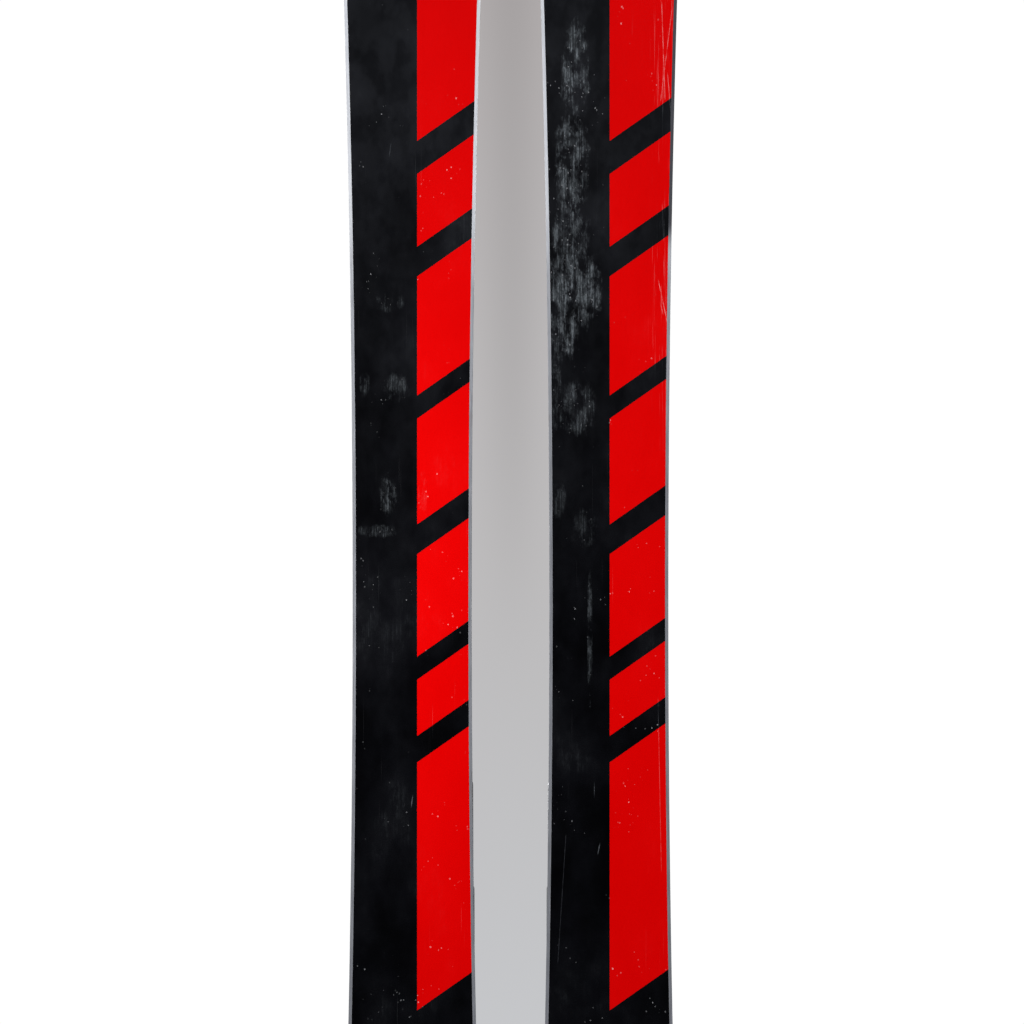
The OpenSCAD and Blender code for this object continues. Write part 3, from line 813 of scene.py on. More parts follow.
def base_red():
    g = Material("base_red_sintered")
    haze, specks, scratches, rubbed, clouds = base_wear(g)
    fine = g.noise((900, 900, 300), detail=4.0, rough=0.7)
    color = g.mix(clouds, (0.56, 0.0001, 0.0002), (0.66, 0.0004, 0.0005))
    color = g.mix(fine.step(start=0.45, end=0.8) * 0.22, color, (0.45, 0.0001, 0.0001))
    color = g.mix(haze * 0.22, color, (0.75, 0.30, 0.30))
    color = g.mix(specks * 0.55, color, (0.85, 0.45, 0.44))
    color = g.mix(rubbed * 0.60, color, (0.82, 0.34, 0.33))
    color = g.mix(scratches * 0.22, color, (0.80, 0.28, 0.27))
    rough = clouds.remap(start=0.35, end=0.65, low=0.20, high=0.30)
    grind = g.noise((2600, 2600, 30), detail=2.0, rough=0.6)
    normal = (grind - scratches).bump(distance=0.00002, strength=0.3)
    return g.finish(color, rough, normal, specular=0.07)


# ------------------------------------------------------------------------------------------
# Other ski materials
# ------------------------------------------------------------------------------------------
def edge_steel():
    g = Material("edge_ground_steel")
    x, _, z = g.xyz(g.place)
    along = g.noise((3000, 3000, 60), rough=0.6)
    blots = g.noise((200, 200, 30), rough=0.6, offset=(2, 5, 1))
    color = g.mix(along, (0.34, 0.35, 0.37), (0.62, 0.63, 0.66))
    color = g.mix(blots.step(start=0.60, end=0.78) * 0.6, color, (0.20, 0.14, 0.10))
    # painted shade low down, a painted highlight (the edges' white reflection) below the shovel,
    # dark there on the right ski's outer side
    painted_shade_low = g.mix(1.0, color, (0.66, 0.66, 0.67), "MULTIPLY")
    color = g.mix(z.step(start=0.90, end=0.72), color, painted_shade_low)
    # painted highlight: the edges' white reflection, laid on as near-white colour
    ground = z.step(start=0.85, end=0.93) * z.step(start=1.18, end=1.06)
    color = g.mix(ground * 0.85, color, (0.94, 0.95, 0.97))
    dark = z.step(start=0.885, end=0.905) * z.step(start=1.16, end=1.06)
    color = g.mix(x.step(start=0.085, end=0.087) * dark, color, (0.090, 0.090, 0.100))
    nicks = g.noise((500, 500, 140), detail=2.0, offset=(0, 3, 8)).step(start=0.70, end=0.78)
    normal = (along * 0.4 - nicks).bump(distance=0.00005, strength=0.5)
    return g.finish(color, along.remap(low=0.30, high=0.48), normal, metallic=0.62)


def glass_fibre():
    g = Material("glass_fibre_laminate")
    grain = g.noise((3000, 3000, 120), rough=0.6)
    color = g.mix(grain, (0.34, 0.36, 0.26), (0.58, 0.60, 0.47))
    return g.finish(color, grain.remap(low=0.38, high=0.58),
                    grain.bump(distance=0.00005, strength=0.5), specular=0.4)


def alloy_sheet():
    g = Material("alloy_sheet")
    grain = g.noise((2500, 2500, 40), rough=0.6)
    color = g.mix(grain, (0.42, 0.42, 0.44), (0.66, 0.66, 0.68))
    return g.finish(color, grain.remap(low=0.28, high=0.45),
                    grain.bump(distance=0.00003, strength=0.5), metallic=1.0)


def core_wood():
    g = Material("core_wood")
    x = g.xyz(g.place)[0]
    rings = g.value("ShaderNodeTexWave", "Fac", {"wave_type": "BANDS", "bands_direction": "X"},
                    Vector=g.scaled((1, 1, 0.03)), Scale=60.0, Distortion=6.0, Detail=3.0,
                    Detail_Scale=1.5)
    strips = g.math("FRACT", x * 60.0)   # 60 glued strips to the metre
    color = g.mix(rings, (0.42, 0.27, 0.14), (0.66, 0.49, 0.30))
    color = g.mix(strips.step(start=0.04, end=0.0), color, (0.16, 0.10, 0.05))
    return g.finish(color, 0.6, rings.bump(distance=0.0001, strength=0.4), specular=0.3)


def sidewall_plastic():
    g = Material("abs_sidewall")
    milling = g.noise((60, 1400, 90), detail=4.0, rough=0.6)
    clouds = g.noise((25, 25, 12), detail=2.0)
    scratches = g.noise((200, 900, 20), detail=2.0, offset=(4, 4, 4)).step(start=0.68, end=0.75)
    color = g.mix(clouds, (0.010, 0.010, 0.011), (0.020, 0.020, 0.022))
    color = g.mix(scratches * 0.35, color, (0.12, 0.12, 0.125))
    return g.finish(color, milling.remap(low=0.36, high=0.52),
                    (milling - scratches).bump(distance=0.00006, strength=0.5), specular=0.45)


PRINT_RED, PRINT_WHITE, PRINT_GREY = (0.62, 0.006, 0.008), (0.70, 0.71, 0.72), (0.20, 0.205, 0.21)
# Slanted bands on the top film: lower end, upper end, colour
BANDS = [
    (1.190, 1.330, PRINT_RED), (1.345, 1.372, PRINT_WHITE), (1.384, 1.400, PRINT_GREY),
    (1.075, 1.100, PRINT_GREY), (1.112, 1.176, PRINT_RED),
    (0.190, 0.300, PRINT_RED), (0.150, 0.178, PRINT_WHITE), (0.118, 0.136, PRINT_GREY),
]
BAND_BLUR = 0.0003
TAIL_BANDS_BELOW = 0.6


def top_film():
    """Gloss black film with slanted red, grey and white bands."""
    g = Material("printed_top_film")
    x, _, z = g.xyz(g.place)
    from_middle = abs(x) - abs(origin("right").x)
    y = from_middle * g.math("SIGN", x)   # across each ski from its own centre line
    slant = y.times(-0.9, plus=z)
    color = g.mix(g.noise((300, 300, 40)), (0.006, 0.006, 0.007), (0.012, 0.012, 0.014))
    weave = g.value("ShaderNodeTexChecker", "Fac", Vector=g.scaled((1, 1, 1)), Scale=520.0)
    color = g.mix(weave * 0.35, color, (0.022, 0.022, 0.025))
    for low, high, ink in BANDS:
        band = (slant.step(low - BAND_BLUR, low + BAND_BLUR)
                * slant.step(high + BAND_BLUR, high - BAND_BLUR))
        if low < TAIL_BANDS_BELOW:
            limit = abs(y).step(start=0.0503, end=0.0497)
        else:
            limit = y.step(start=-0.0203, end=-0.0197)
        color = g.mix(band * limit, color, ink)
    pinstripe = (abs(y).step(start=0.0296, end=0.0300)
                 * abs(y).step(start=0.0316, end=0.0312))
    color = g.mix(pinstripe * 0.8, color, (0.30, 0.31, 0.32))
    scratches = g.noise((700, 700, 60), detail=2.0, offset=(5, 2, 9)).step(start=0.69, end=0.75)
    where = g.noise((20, 20, 10), detail=2.0, offset=(1, 1, 1)).step(start=0.5, end=0.7)
    scratches = scratches * where
    color = g.mix(scratches * 0.3, color, (0.25, 0.25, 0.26))
    chips = (g.edge_wear(start=0.04, end=0.2)
             * g.noise((150, 150, 70)).step(start=0.50, end=0.62))
    color = g.mix(chips * 0.8, color, (0.45, 0.45, 0.46))
    rough = g.between(scratches, g.noise((90, 90, 40)).remap(low=0.14, high=0.24), 0.5)
    relief = g.noise((350, 350, 350), detail=2.0) - scratches
    return g.finish(color, rough, relief.bump(distance=0.00003, strength=0.35), specular=0.4,
                    coat=0.3, coat_rough=0.12)


# ------------------------------------------------------------------------------------------
# Moulded plastics and metals
# ------------------------------------------------------------------------------------------
def plastic(name, dark, light, rough, grain=1800.0, relief=0.00006,
            worn=(0.09, 0.09, 0.095), wear_amount=0.5):
    """Moulded plastic with dust, worn edges and scratches; rough is (low, high)."""
    g = Material(name)
    texture = g.noise(scale=grain, rough=0.6)
    clouds = g.noise(scale=60.0, rough=0.6)
    color = g.mix(clouds, dark, light)
    dust = g.noise(scale=220.0, detail=4.0, rough=0.7, offset=(3, 3, 3))
    color = g.mix(dust.step(start=0.60, end=0.80) * 0.10, color, (0.30, 0.29, 0.27))
    wear = g.edge_wear() * g.noise(scale=140.0, offset=(8, 2, 2)).step(start=0.42, end=0.62)
    color = g.mix(wear * wear_amount, color, worn)
    scratches = g.noise((900, 900, 50), detail=2.0, offset=(2, 7, 2)).step(start=0.71, end=0.76)
    color = g.mix(scratches * 0.18, color, worn)
    rough = g.between(wear, clouds.remap(*rough), 0.6)
    normal = (texture - scratches * 0.8).bump(distance=relief, strength=0.5)
    return g.finish(color, rough, normal, specular=0.45)


def metal(name, dark, light, rough=(0.22, 0.42), stretch=(1, 1, 1), grain=900.0, stain=None):
    """Brushed metal; rough is (low, high), stain the colour of its blots."""
    g = Material(name)
    brushed = g.noise(stretch, scale=grain, rough=0.6)
    blots = g.noise(scale=160.0, rough=0.6, offset=(2, 2, 2))
    color = g.mix(brushed, dark, light)
    if stain:
        color = g.mix(blots.step(start=0.58, end=0.74), color, stain)
    return g.finish(color, (brushed * 0.6 + blots * 0.4).remap(*rough),
                    brushed.bump(distance=0.00003, strength=0.5), metallic=1.0)


BASE_BLACK, BASE_RED, EDGE_STEEL = base_black(), base_red(), edge_steel()
GLASS_FIBRE, ALLOY_SHEET, CORE_WOOD = glass_fibre(), alloy_sheet(), core_wood()
SIDEWALL, TOP_FILM = sidewall_plastic(), top_film()
GUARD = plastic("guard_plastic", (0.018, 0.018, 0.020), (0.030, 0.030, 0.033),
                rough=(0.34, 0.48))
RAIL = plastic("rail_plastic", (0.014, 0.014, 0.016), (0.024, 0.024, 0.027), rough=(0.46, 0.60))
BINDING = plastic("binding_plastic", (0.010, 0.010, 0.012), (0.019, 0.019, 0.022),
                  rough=(0.32, 0.44), grain=2400.0)
GREY = plastic("binding_grey_plastic", (0.16, 0.165, 0.17), (0.22, 0.225, 0.23),
               rough=(0.38, 0.50), worn=(0.34, 0.34, 0.35))
BRAKE = plastic("brake_plastic", (0.013, 0.013, 0.015), (0.022, 0.022, 0.025),
                rough=(0.48, 0.62), grain=1200.0, relief=0.0001)
LEVER_RED = plastic("lever_red_plastic", (0.50, 0.004, 0.006), (0.66, 0.008, 0.010),
                    rough=(0.26, 0.38), worn=(0.75, 0.30, 0.28), wear_amount=0.6)
SCREW = metal("zinc_steel", (0.46, 0.46, 0.47), (0.66, 0.66, 0.68), stain=(0.32, 0.29, 0.24))
SPRING = metal("spring_steel", (0.24, 0.24, 0.25), (0.42, 0.42, 0.44), rough=(0.26, 0.42),
               stain=(0.16, 0.12, 0.09))
WIRE = metal("brake_wire_steel", (0.42, 0.42, 0.44), (0.62, 0.62, 0.64), rough=(0.18, 0.34),
             stretch=(1, 1, 0.1), grain=1600.0)
GLIDE = metal("glide_alloy", (0.40, 0.41, 0.43), (0.62, 0.63, 0.65), rough=(0.25, 0.44),
              stretch=(0.05, 1, 1), grain=2200.0, stain=(0.30, 0.30, 0.31))

# ------------------------------------------------------------------------------------------
# Ski: base, edges and layers
# ------------------------------------------------------------------------------------------
# Red blocks of the inlay: start and end along the seam
INLAY = [(428, 578), (594, 628), (642, 704), (722, 786), (800, 872), (890, 934), (954, 1046),
         (1062, 1086), (1104, 1164), (1180, 1202), (1220, 1310)]
INLAY_SLANT = 0.7
SEAM_Y = {"left": 3.0, "right": 0.5}
BASE_THICK, EDGE_WIDTH = 1.4, 2.0

# Sections as (inset, level), see rim and plate
EDGE_SECTION = [(0.18, 0.0), (1.97, 0.0), (1.97, 1.38), (5.9, 1.42), (5.9, 1.98), (0.05, 1.98),
                (0.0, 1.9), (0.0, 0.18)]
LOWER_SECTION = [(0.15, 2.0), (0.0, 2.1), (0.0, 2.72), (0.12, 2.8)]
SIDEWALL_SECTION = [(0.15, 2.8), (6.0, 2.8), (6.0, top(1.5)), (1.25, top(1.5)),
                    (0.95, top(1.9)), (0.35, 4.4), (0.1, 3.2)]
UPPER_SECTION = [(1.28, top(1.5)), (1.22, top(1.42)), (1.35, top(0.8)), (1.42, top(0.7))]
TOP_SECTION = [(1.45, top(0.7)), (1.42, top(0.62)), (1.55, top(0.3)), (1.85, top(0.08)),
               (2.3, top(0.0))]
GUARD_SECTION = [(1.3, 0.0), (0.5, 0.18), (0.1, 0.7), (0.0, 1.5), (0.0, top(1.5)),
                 (0.2, top(0.8)), (0.8, top(0.2)), (1.8, top(0.0))]


def base_pieces(side):
    """The black base and the red inlay: a flat sheet cut along their seams, then bent."""
    seam = SEAM_Y[side]
    flat = bmesh.new()
    rows = []
    for x, y, normal_x, normal_y in clip_outline(GUARD_START, GUARD_END):
        half = max(y + EDGE_WIDTH * normal_y, 0)
        rows.append([flat.verts.new((x + EDGE_WIDTH * normal_x, half * (1 - k / 5), 0))
                     for k in range(11)])
    for first, second in zip(rows, rows[1:]):
        strip(flat, first, second)

    def split(point, normal, is_near):
        faces = [f for f in flat.faces if is_near(f.calc_center_median())]
        edges = {e for f in faces for e in f.edges}
        vertices = {v for f in faces for v in f.verts}
        bmesh.ops.bisect_plane(flat, geom=faces + list(edges) + list(vertices),
                               plane_co=point, plane_no=normal, dist=1e-4)

    split((0, seam, 0), (0, 1, 0), lambda centre: True)
    for block_ends in INLAY:
        for x in block_ends:
            split((x, seam, 0), (1, -INLAY_SLANT, 0), lambda centre, x=x: (
                centre.y > seam and x - 16 < centre.x < x + INLAY_SLANT * 64 + 16))

    def is_red(centre):
        along = centre.x - INLAY_SLANT * (centre.y - seam)
        return centre.y > seam + 1e-3 and any(low < along < high for low, high in INLAY)

    sheets = []
    for red in (False, True):
        mesh = flat.copy()
        unwanted = [f for f in mesh.faces if is_red(f.calc_center_median()) != red]
        bmesh.ops.delete(mesh, geom=unwanted, context="FACES")
        extruded = bmesh.ops.extrude_face_region(mesh, geom=list(mesh.faces))["geom"]
        for item in extruded:
            if isinstance(item, bmesh.types.BMVert):
                item.co.z = BASE_THICK
        tidy(mesh, merge=0.01, degenerate=0.005)
        outward(mesh)
        for vertex in mesh.verts:
            vertex.co = bend(*vertex.co)
        sheets.append(mesh)
    return sheets


for side in SIDES:
    black, red = base_pieces(side)
    piece("base", side, black, "ski", BASE_BLACK, angle=30)
    piece("base_inlay", side, red, "ski", BASE_RED, angle=30)

BODY = (GUARD_START, GUARD_END)
both("steel_edges", rim(*BODY, EDGE_SECTION), "ski", EDGE_STEEL, angle=25)
both("lower_laminate", plate(*BODY, LOWER_SECTION), "ski", GLASS_FIBRE,
     angle=50)
both("sidewalls", rim(*BODY, SIDEWALL_SECTION), "ski", SIDEWALL, angle=30)
both("upper_laminate", plate(*BODY, UPPER_SECTION), "ski", ALLOY_SHEET,
     angle=50)
both("top_sheet", plate(*BODY, TOP_SECTION), "ski", TOP_FILM, angle=60)
both("tip_and_tail_guards",
     joined(plate(GUARD_END, LENGTH, GUARD_SECTION, across=16),
            plate(0, GUARD_START, GUARD_SECTION, across=16)),
     "ski", GUARD, angle=45)

# ------------------------------------------------------------------------------------------
# Binding: rails and screws (from here on in the binding's frame)
# ------------------------------------------------------------------------------------------
RAIL_SECTION = [(-24, 0), (24, 0), (24, 4), (16, 4), (16, 8), (21, 8), (21, 12), (-21, 12),
                (-21, 8), (-16, 8), (-16, 4), (-24, 4)]   # y, z
RAIL_RADII = [0.3, 0.3, 1.2, 0.8, 0.6, 0.6, 1.0, 1.0, 0.6, 0.6, 0.8, 1.2]
SCREWS = [(x, y) for x in (74, 248, -76, -280) for y in (12, -12)]
# Turned profiles are (distance along, radius)
SCREW_BORE = [(0, 2.75), (12.5, 2.75), (15.0, 5.0), (17, 5.0)]
RAIL_SCREW = [(0, 0.01), (0.01, 1.0), (2.0, 2.4), (18.5, 2.55), (20.9, 4.6), (21.2, 4.75),
              (21.35, 4.6), (21.4, 4.3), (21.4, 0.01)]
CROSS_LENGTH, CROSS_WIDTH = 2.7, 0.55   # half sizes of the cross recess
UP = (0, 0, 1)


def rail(start, end, pockets):
    body = rounded_prism(RAIL_SECTION, RAIL_RADII, "x", start, end, steps=3)
    bores = [lathe(SCREW_BORE, (x, y, -3), UP, 32) for x, y in SCREWS if start < x < end]
    return boolean(body, bores + pockets)


def rails():
    front = rail(60, 262, block_row((84, 102), 30, 5, (-6, 6), (10.2, 14), 2.5))
    rear = rail(-292, -62, block_row((-272, -270), 4, 14, (-5, 5), (10.8, 14), 0.5, 2)
                + block_row((-200, -184), 28, 4, (-6, 6), (10.2, 14), 2.5))
    return softened(joined(front, rear), 0.3)


def rail_screw(x, y):
    """A countersunk screw whose cross recess is turned by an angle of its own."""
    turn = math.radians(20 + (x * 7 + y * 3) % 60)
    slots = []
    for angle in (turn, turn + math.pi / 2):
        cosine, sine = math.cos(angle), math.sin(angle)
        corners = [(x + cosine * along * CROSS_LENGTH - sine * across * CROSS_WIDTH,
                    y + sine * along * CROSS_LENGTH + cosine * across * CROSS_WIDTH)
                   for along, across in ((1, 1), (-1, 1), (-1, -1), (1, -1))]
        slots.append(prism(corners, "z", 10.3, 14))
    return boolean(lathe(RAIL_SCREW, (x, y, -9.5), UP, 32), slots)


fit("binding_rails", rails(), "ski", RAIL)
fit("rail_screws", joined(*[rail_screw(x, y) for x, y in SCREWS]), "ski", SCREW)


def channel(half_width, top_z, start, end, top_radius):
    """A carriage body that wraps round the rail's head with 0.3 of play."""
    section = [(-half_width, 4.3), (-16.3, 4.3), (-16.3, 7.7), (-21.3, 7.7), (-21.3, 12.3),
               (21.3, 12.3), (21.3, 7.7), (16.3, 7.7), (16.3, 4.3), (half_width, 4.3),
               (half_width, top_z), (-half_width, top_z)]
    radii = [0.8, 0.4, 0.4, 0.4, 0.8, 0.8, 0.4, 0.4, 0.4, 0.8, top_radius, top_radius]
    return rounded_prism(section, radii, "x", start, end, steps=4)


# ------------------------------------------------------------------------------------------
# Toe piece
# ------------------------------------------------------------------------------------------
TOE_CENTRE_X = 118.0              # the wings' jaws are arcs about this
WING_X, WING_Y = 180, 15          # wing pin
TOE_SPRING_Z = 35
# Housing sections: x, half width, top z, bottom z
HOUSING_STATIONS = [
    (164.0, 24.2, 60.4, 18.8), (164.7, 24.9, 60.9, 18.2), (166.5, 25.2, 61, 18.0),
    (176, 26.1, 61, 18), (188, 26.8, 61, 18), (198, 26.4, 60.2, 18), (208, 25.2, 59.0, 18),
    (218, 23.4, 57.2, 18), (227, 21.0, 54.9, 18.2), (234, 18.2, 52.2, 18.9),
    (239, 15.6, 49.2, 20.2), (242, 13.6, 46.6, 22.0), (243.6, 11.9, 44.4, 23.9),
    (244.0, 10.4, 42.6, 25.6),
]
SCALLOP = [(202, 30), (226, 31), (234, 35), (234, 39), (226, 43), (202, 46)]   # x, z
WING_ARM = [(178, 9.2), (186, 13), (184.5, 20), (172, 28), (157, 33), (149, 33.6), (150, 26),
            (157, 13), (159.5, 9.4)]   # x, y
WING_ARM_RADII = [2, 3, 3, 6, 6, 1, 4, 4, 1]
WING_PIN = [(0, 2.4), (0.4, 3.0), (47.05, 3.0), (47.05, 4.0), (47.3, 4.2), (48.1, 4.2),
            (48.45, 3.7), (48.45, 1.6), (47.9, 1.3), (47.9, 0.01)]
TOE_SCREW = [(0, 2.4), (0.5, 3.0), (63, 3.0), (63, 7.6), (63.5, 8.4), (73.8, 8.4), (74.5, 7.6),
             (74.5, 6.2), (73.9, 5.9), (73.9, 0.01)]


def wing_hole(side, low, high, radius):
    return hole((WING_X, WING_Y * side, low), (WING_X, WING_Y * side, high), radius)


def spring_hole(start, end, radius):
    return hole((start, 0, TOE_SPRING_Z), (end, 0, TOE_SPRING_Z), radius)


def toe_base():
    bed = bevelled(block((92, 138), (-27, 27), (15, 27.5), 3), 0.8)
    body = union(channel(27, 18, 90, 242, 2.2), bed)
    cuts = [block((109, 121), (-30, 30), (24, 30))]
    for side in (1, -1):
        cuts.append(wing_hole(side, 13.9, 30, 3.02))
        # slots along the flanks
        cuts += block_row((146, 158), 18, 5, (8.6, 15.2), span(side, 25.4, 30), 1.6, 4, "y")
    for groove in ((94, 95.6), (123.5, 125.1)):
        cuts += block_row(groove, 3.6, 4, (-20, 20), (26.9, 30))
    return softened(boolean(body, cuts))


def housing_loop(half_width, top_z, bottom_z):
    """A section as (y, z), with large upper and small lower corners."""
    upper = min(6.5, half_width * 0.55)
    lower = min(3.0, half_width * 0.3)
    height = top_z - bottom_z
    half = [(0, bottom_z), (half_width * 0.5, bottom_z), (half_width - lower, bottom_z)]
    for angle in (math.radians(a) for a in (30, 60, 90)):
        half.append((half_width - lower + lower * math.sin(angle),
                     bottom_z + lower - lower * math.cos(angle)))
    half += [(half_width, bottom_z + height * 0.33), (half_width, bottom_z + height * 0.6)]
    half += arc(half_width - upper, top_z - upper, upper, 0, 90, 5)
    half += [(half_width * 0.45, top_z), (0, top_z)]
    return half + [(-y, z) for y, z in half[-2:0:-1]]


def toe_housing():
    """A lofted cover, cut for the wings, the spring and the grooves on top."""
    cover = bmesh.new()
    skin(cover, [[cover.verts.new((x, y, z)) for y, z in housing_loop(*sizes)]
                 for x, *sizes in HOUSING_STATIONS])
    outward(cover)
    cuts = []
    for side in (1, -1):
        cuts += [block((150, 194), span(side, 8, 40), (31, 57), [0, 3, 3, 0]),
                 wing_hole(side, 10, 70, 3.05),
                 rounded_prism(SCALLOP, 2.2, "y", *span(side, 22.6, 40), steps=4)]
    cuts += [spring_hole(160, 199, 3.2), spring_hole(196, 260, 8.6)]
    window = [(196, -5.5), (220, -4.5), (220, 4.5), (196, 5.5)]
    cuts.append(rounded_prism(window, 2, "z", 55.2, 70, steps=4))
    for y in (-14.5, 14.5):
        groove = [(190, y - 0.7), (226, y * 0.86 - 0.6), (226, y * 0.86 + 0.6), (190, y + 0.7)]
        cuts.append(rounded_prism(groove, 0.5, "z", 54.8, 70, steps=2))
    return softened(boolean(cover, cuts), 0.4, angle=38)


def toe_pins():
    return joined(*[lathe(WING_PIN, (WING_X, WING_Y * side, 14), UP, 36) for side in (1, -1)])


def toe_wing():
    """The wing at +y."""
    hub = cylinder((WING_X, WING_Y, 31.4), (WING_X, WING_Y, 56.6), 6.3, 40, 0.8)
    arm = bevelled(rounded_prism(WING_ARM, WING_ARM_RADII, "z", 36, 56.6, steps=6), 1.2, 3)
    jaw = bevelled(prism(sector(TOE_CENTRE_X, 35, 43.2, 12, 54, 20), "z", 35.5, 60), 1.3, 3)
    lip = bevelled(prism(sector(TOE_CENTRE_X, 27, 43.2, 12, 46, 20), "z", 54.2, 60), 1.2, 3)
    cuts = [wing_hole(1, 20, 70, 3.08)]
    for i in range(3):   # grooves round the outside of the jaw
        z = 40.5 + i * 4.4
        cuts.append(prism(sector(TOE_CENTRE_X, 42.2, 50, 15, 48, 20), "z", z, z + 1.8))
    return softened(boolean(union(hub, arm, jaw, lip), cuts), 0.3, angle=40)


def toe_screw():
    """The slotted tension screw with its rod."""
    body = lathe(TOE_SCREW, (168, 0, TOE_SPRING_Z), (1, 0, 0), 48)
    slot = block((-5.4, 5.4), (TOE_SPRING_Z - 0.9, TOE_SPRING_Z + 0.9), (240.2, 250), axis="x")
    return softened(boolean(body, [slot]), 0.2, angle=40)


def glide_plate():
    plate_top = bevelled(block((96, 134), (-31, 31), (27.8, 34), 5, 8), 0.9, 3, 40)
    rib = block((109.4, 120.6), (-27, 27), (24.4, 29))
    grooves = block_row((99.5, 100.9), 6.4, 6, (-25, 25), (33.45, 36), 0.5, 2)
    return softened(boolean(union(plate_top, rib), grooves), 0.2, angle=40)


fit("toe_base", toe_base(), "ski", RAIL)
fit("toe_housing", toe_housing(), "ski", BINDING, angle=28)
fit("toe_wing_pins", toe_pins(), "ski", SCREW)
fit_pair("toe_wing", toe_wing(), "wing", GREY, angle=30)
fit("toe_spring",
    coil((198, 0, TOE_SPRING_Z), (1, 0, 0), length=32, radius=6.2, wire=1.2, turns=7.5),
    "ski", SPRING, angle=60)
fit("toe_tension_screw", toe_screw(), "toe_screw", SCREW)
fit("glide_plate", glide_plate(), "glide", GLIDE)

# ------------------------------------------------------------------------------------------
# Heel piece
# ------------------------------------------------------------------------------------------
CUP_CENTRE_X = -117.5                            # the cup is an arc about this
HEEL_X, HEEL_Z = -205.0, 40.0                    # pivot of the cup
LEVER_X, LEVER_Z = HEEL_X - 20, HEEL_Z + 26      # pivot of the lever
HEEL_PIVOT = Vector((HEEL_X, 0, HEEL_Z))
BARREL_ANGLE, LEVER_ANGLE = math.radians(150), math.radians(140)   # up from +x
BARREL_AXIS = Vector((math.cos(BARREL_ANGLE), 0, math.sin(BARREL_ANGLE)))
LENGTH_SCREW_Z = 19.0
PEDAL_X, PEDAL_Z = -108, 25.5                    # pivot of the brake pedal
HEEL_BODY = [(-205, 22.0), (-176, 23.8), (-165, 27.5), (-158, 27.5), (-158, 66), (-166, 73),
             (-190, 74), (-225, 73), (-232, 66), (-222, 54), (-214, 48)]   # x, z
HEEL_SCREW = [(33.5, 0.01), (33.5, 9.2), (34.1, 10.0), (38.6, 10.0), (39.5, 9.1), (39.5, 7.4),
              (38.9, 7.0), (38.9, 0.01)]
# Lever handle in the lever's frame: across its thickness, along it
LEVER_HANDLE = [(-5, 28), (0.5, 26.4), (3.4, 29), (4.3, 36), (3.6, 52), (1.5, 60.5), (-1.6, 63),
                (-4.2, 62), (-5, 59)]


def heel_hole(radius):
    return hole((HEEL_X, -30, HEEL_Z), (HEEL_X, 30, HEEL_Z), radius)


def heel_base():
    ear = ([(-240, 14), (-170, 14), (-192, 40), (-193.9, 41)]
           + arc(HEEL_X, HEEL_Z, 11, 12, 168, 16) + [(-216.1, 41), (-218, 40)])
    radii = [0, 0, 8, 0] + [0] * 17 + [0, 8]
    ears = [bevelled(rounded_prism(ear, radii, "y", *span(side, 20.6, 25.5)), 0.7, 2, 40)
            for side in (1, -1)]
    rear_block = bevelled(block((-262, -246), (-11, 11), (14, 25)), 1.2)
    body = union(channel(25.5, 15.5, -262, -74, 2.0), *ears, rear_block)
    cuts = [heel_hole(4.05), hole((-275, 0, LENGTH_SCREW_Z), (-240, 0, LENGTH_SCREW_Z), 3.1),
            block((-258, -250), (-7.2, 7.2), (11, 30))]
    for i in range(4):   # slots along the flanks
        x = -238 + i * 24
        cuts += [block((x, x + 17), (6.6, 12.2), span(side, 24.2, 30), 1.4, 4, "y")
                 for side in (1, -1)]
    return softened(boolean(body, cuts))


def heel_pins():
    """The cup's pivot pin and the pedal's."""
    cup_pin = [(0, 2.6), (0.5, 3.6), (0.9, 4.0), (49.9, 4.0), (50.3, 3.6), (50.8, 2.6)]
    pedal_pin = [(0, 1.3), (0.4, 2.0), (32.6, 2.0), (33, 1.3)]
    return joined(lathe(cup_pin, (HEEL_X, -25.4, HEEL_Z), (0, 1, 0), 36),
                  lathe(pedal_pin, (PEDAL_X, -16.5, PEDAL_Z), (0, 1, 0), 28))


def length_screw():
    """A worm with three raised threads and a cross-slotted head."""
    profile = [(0, 3.6), (0.5, 4.3), (0.9, 4.6), (5.3, 4.6), (5.5, 4.2), (5.5, 3.0)]
    for i in range(3):
        thread = 10.9 + 2.8 * i
        profile += [(thread - 0.1, 3.6) if i else (thread, 3.0), (thread, 4.6),
                    (thread + 0.5, 6.6), (thread + 1.1, 6.6), (thread + 1.6, 4.6),
                    (thread + 2.2, 3.6)]
    profile += [(18.2, 3.0), (21.2, 3.0), (21.5, 2.5)]
    slots = [block((-wide, wide), (LENGTH_SCREW_Z - tall, LENGTH_SCREW_Z + tall),
                   (-272, -267), axis="x") for wide, tall in ((3.4, 0.6), (0.6, 3.4))]
    return boolean(lathe(profile, (-268.5, 0, LENGTH_SCREW_Z), (1, 0, 0), 36), slots)


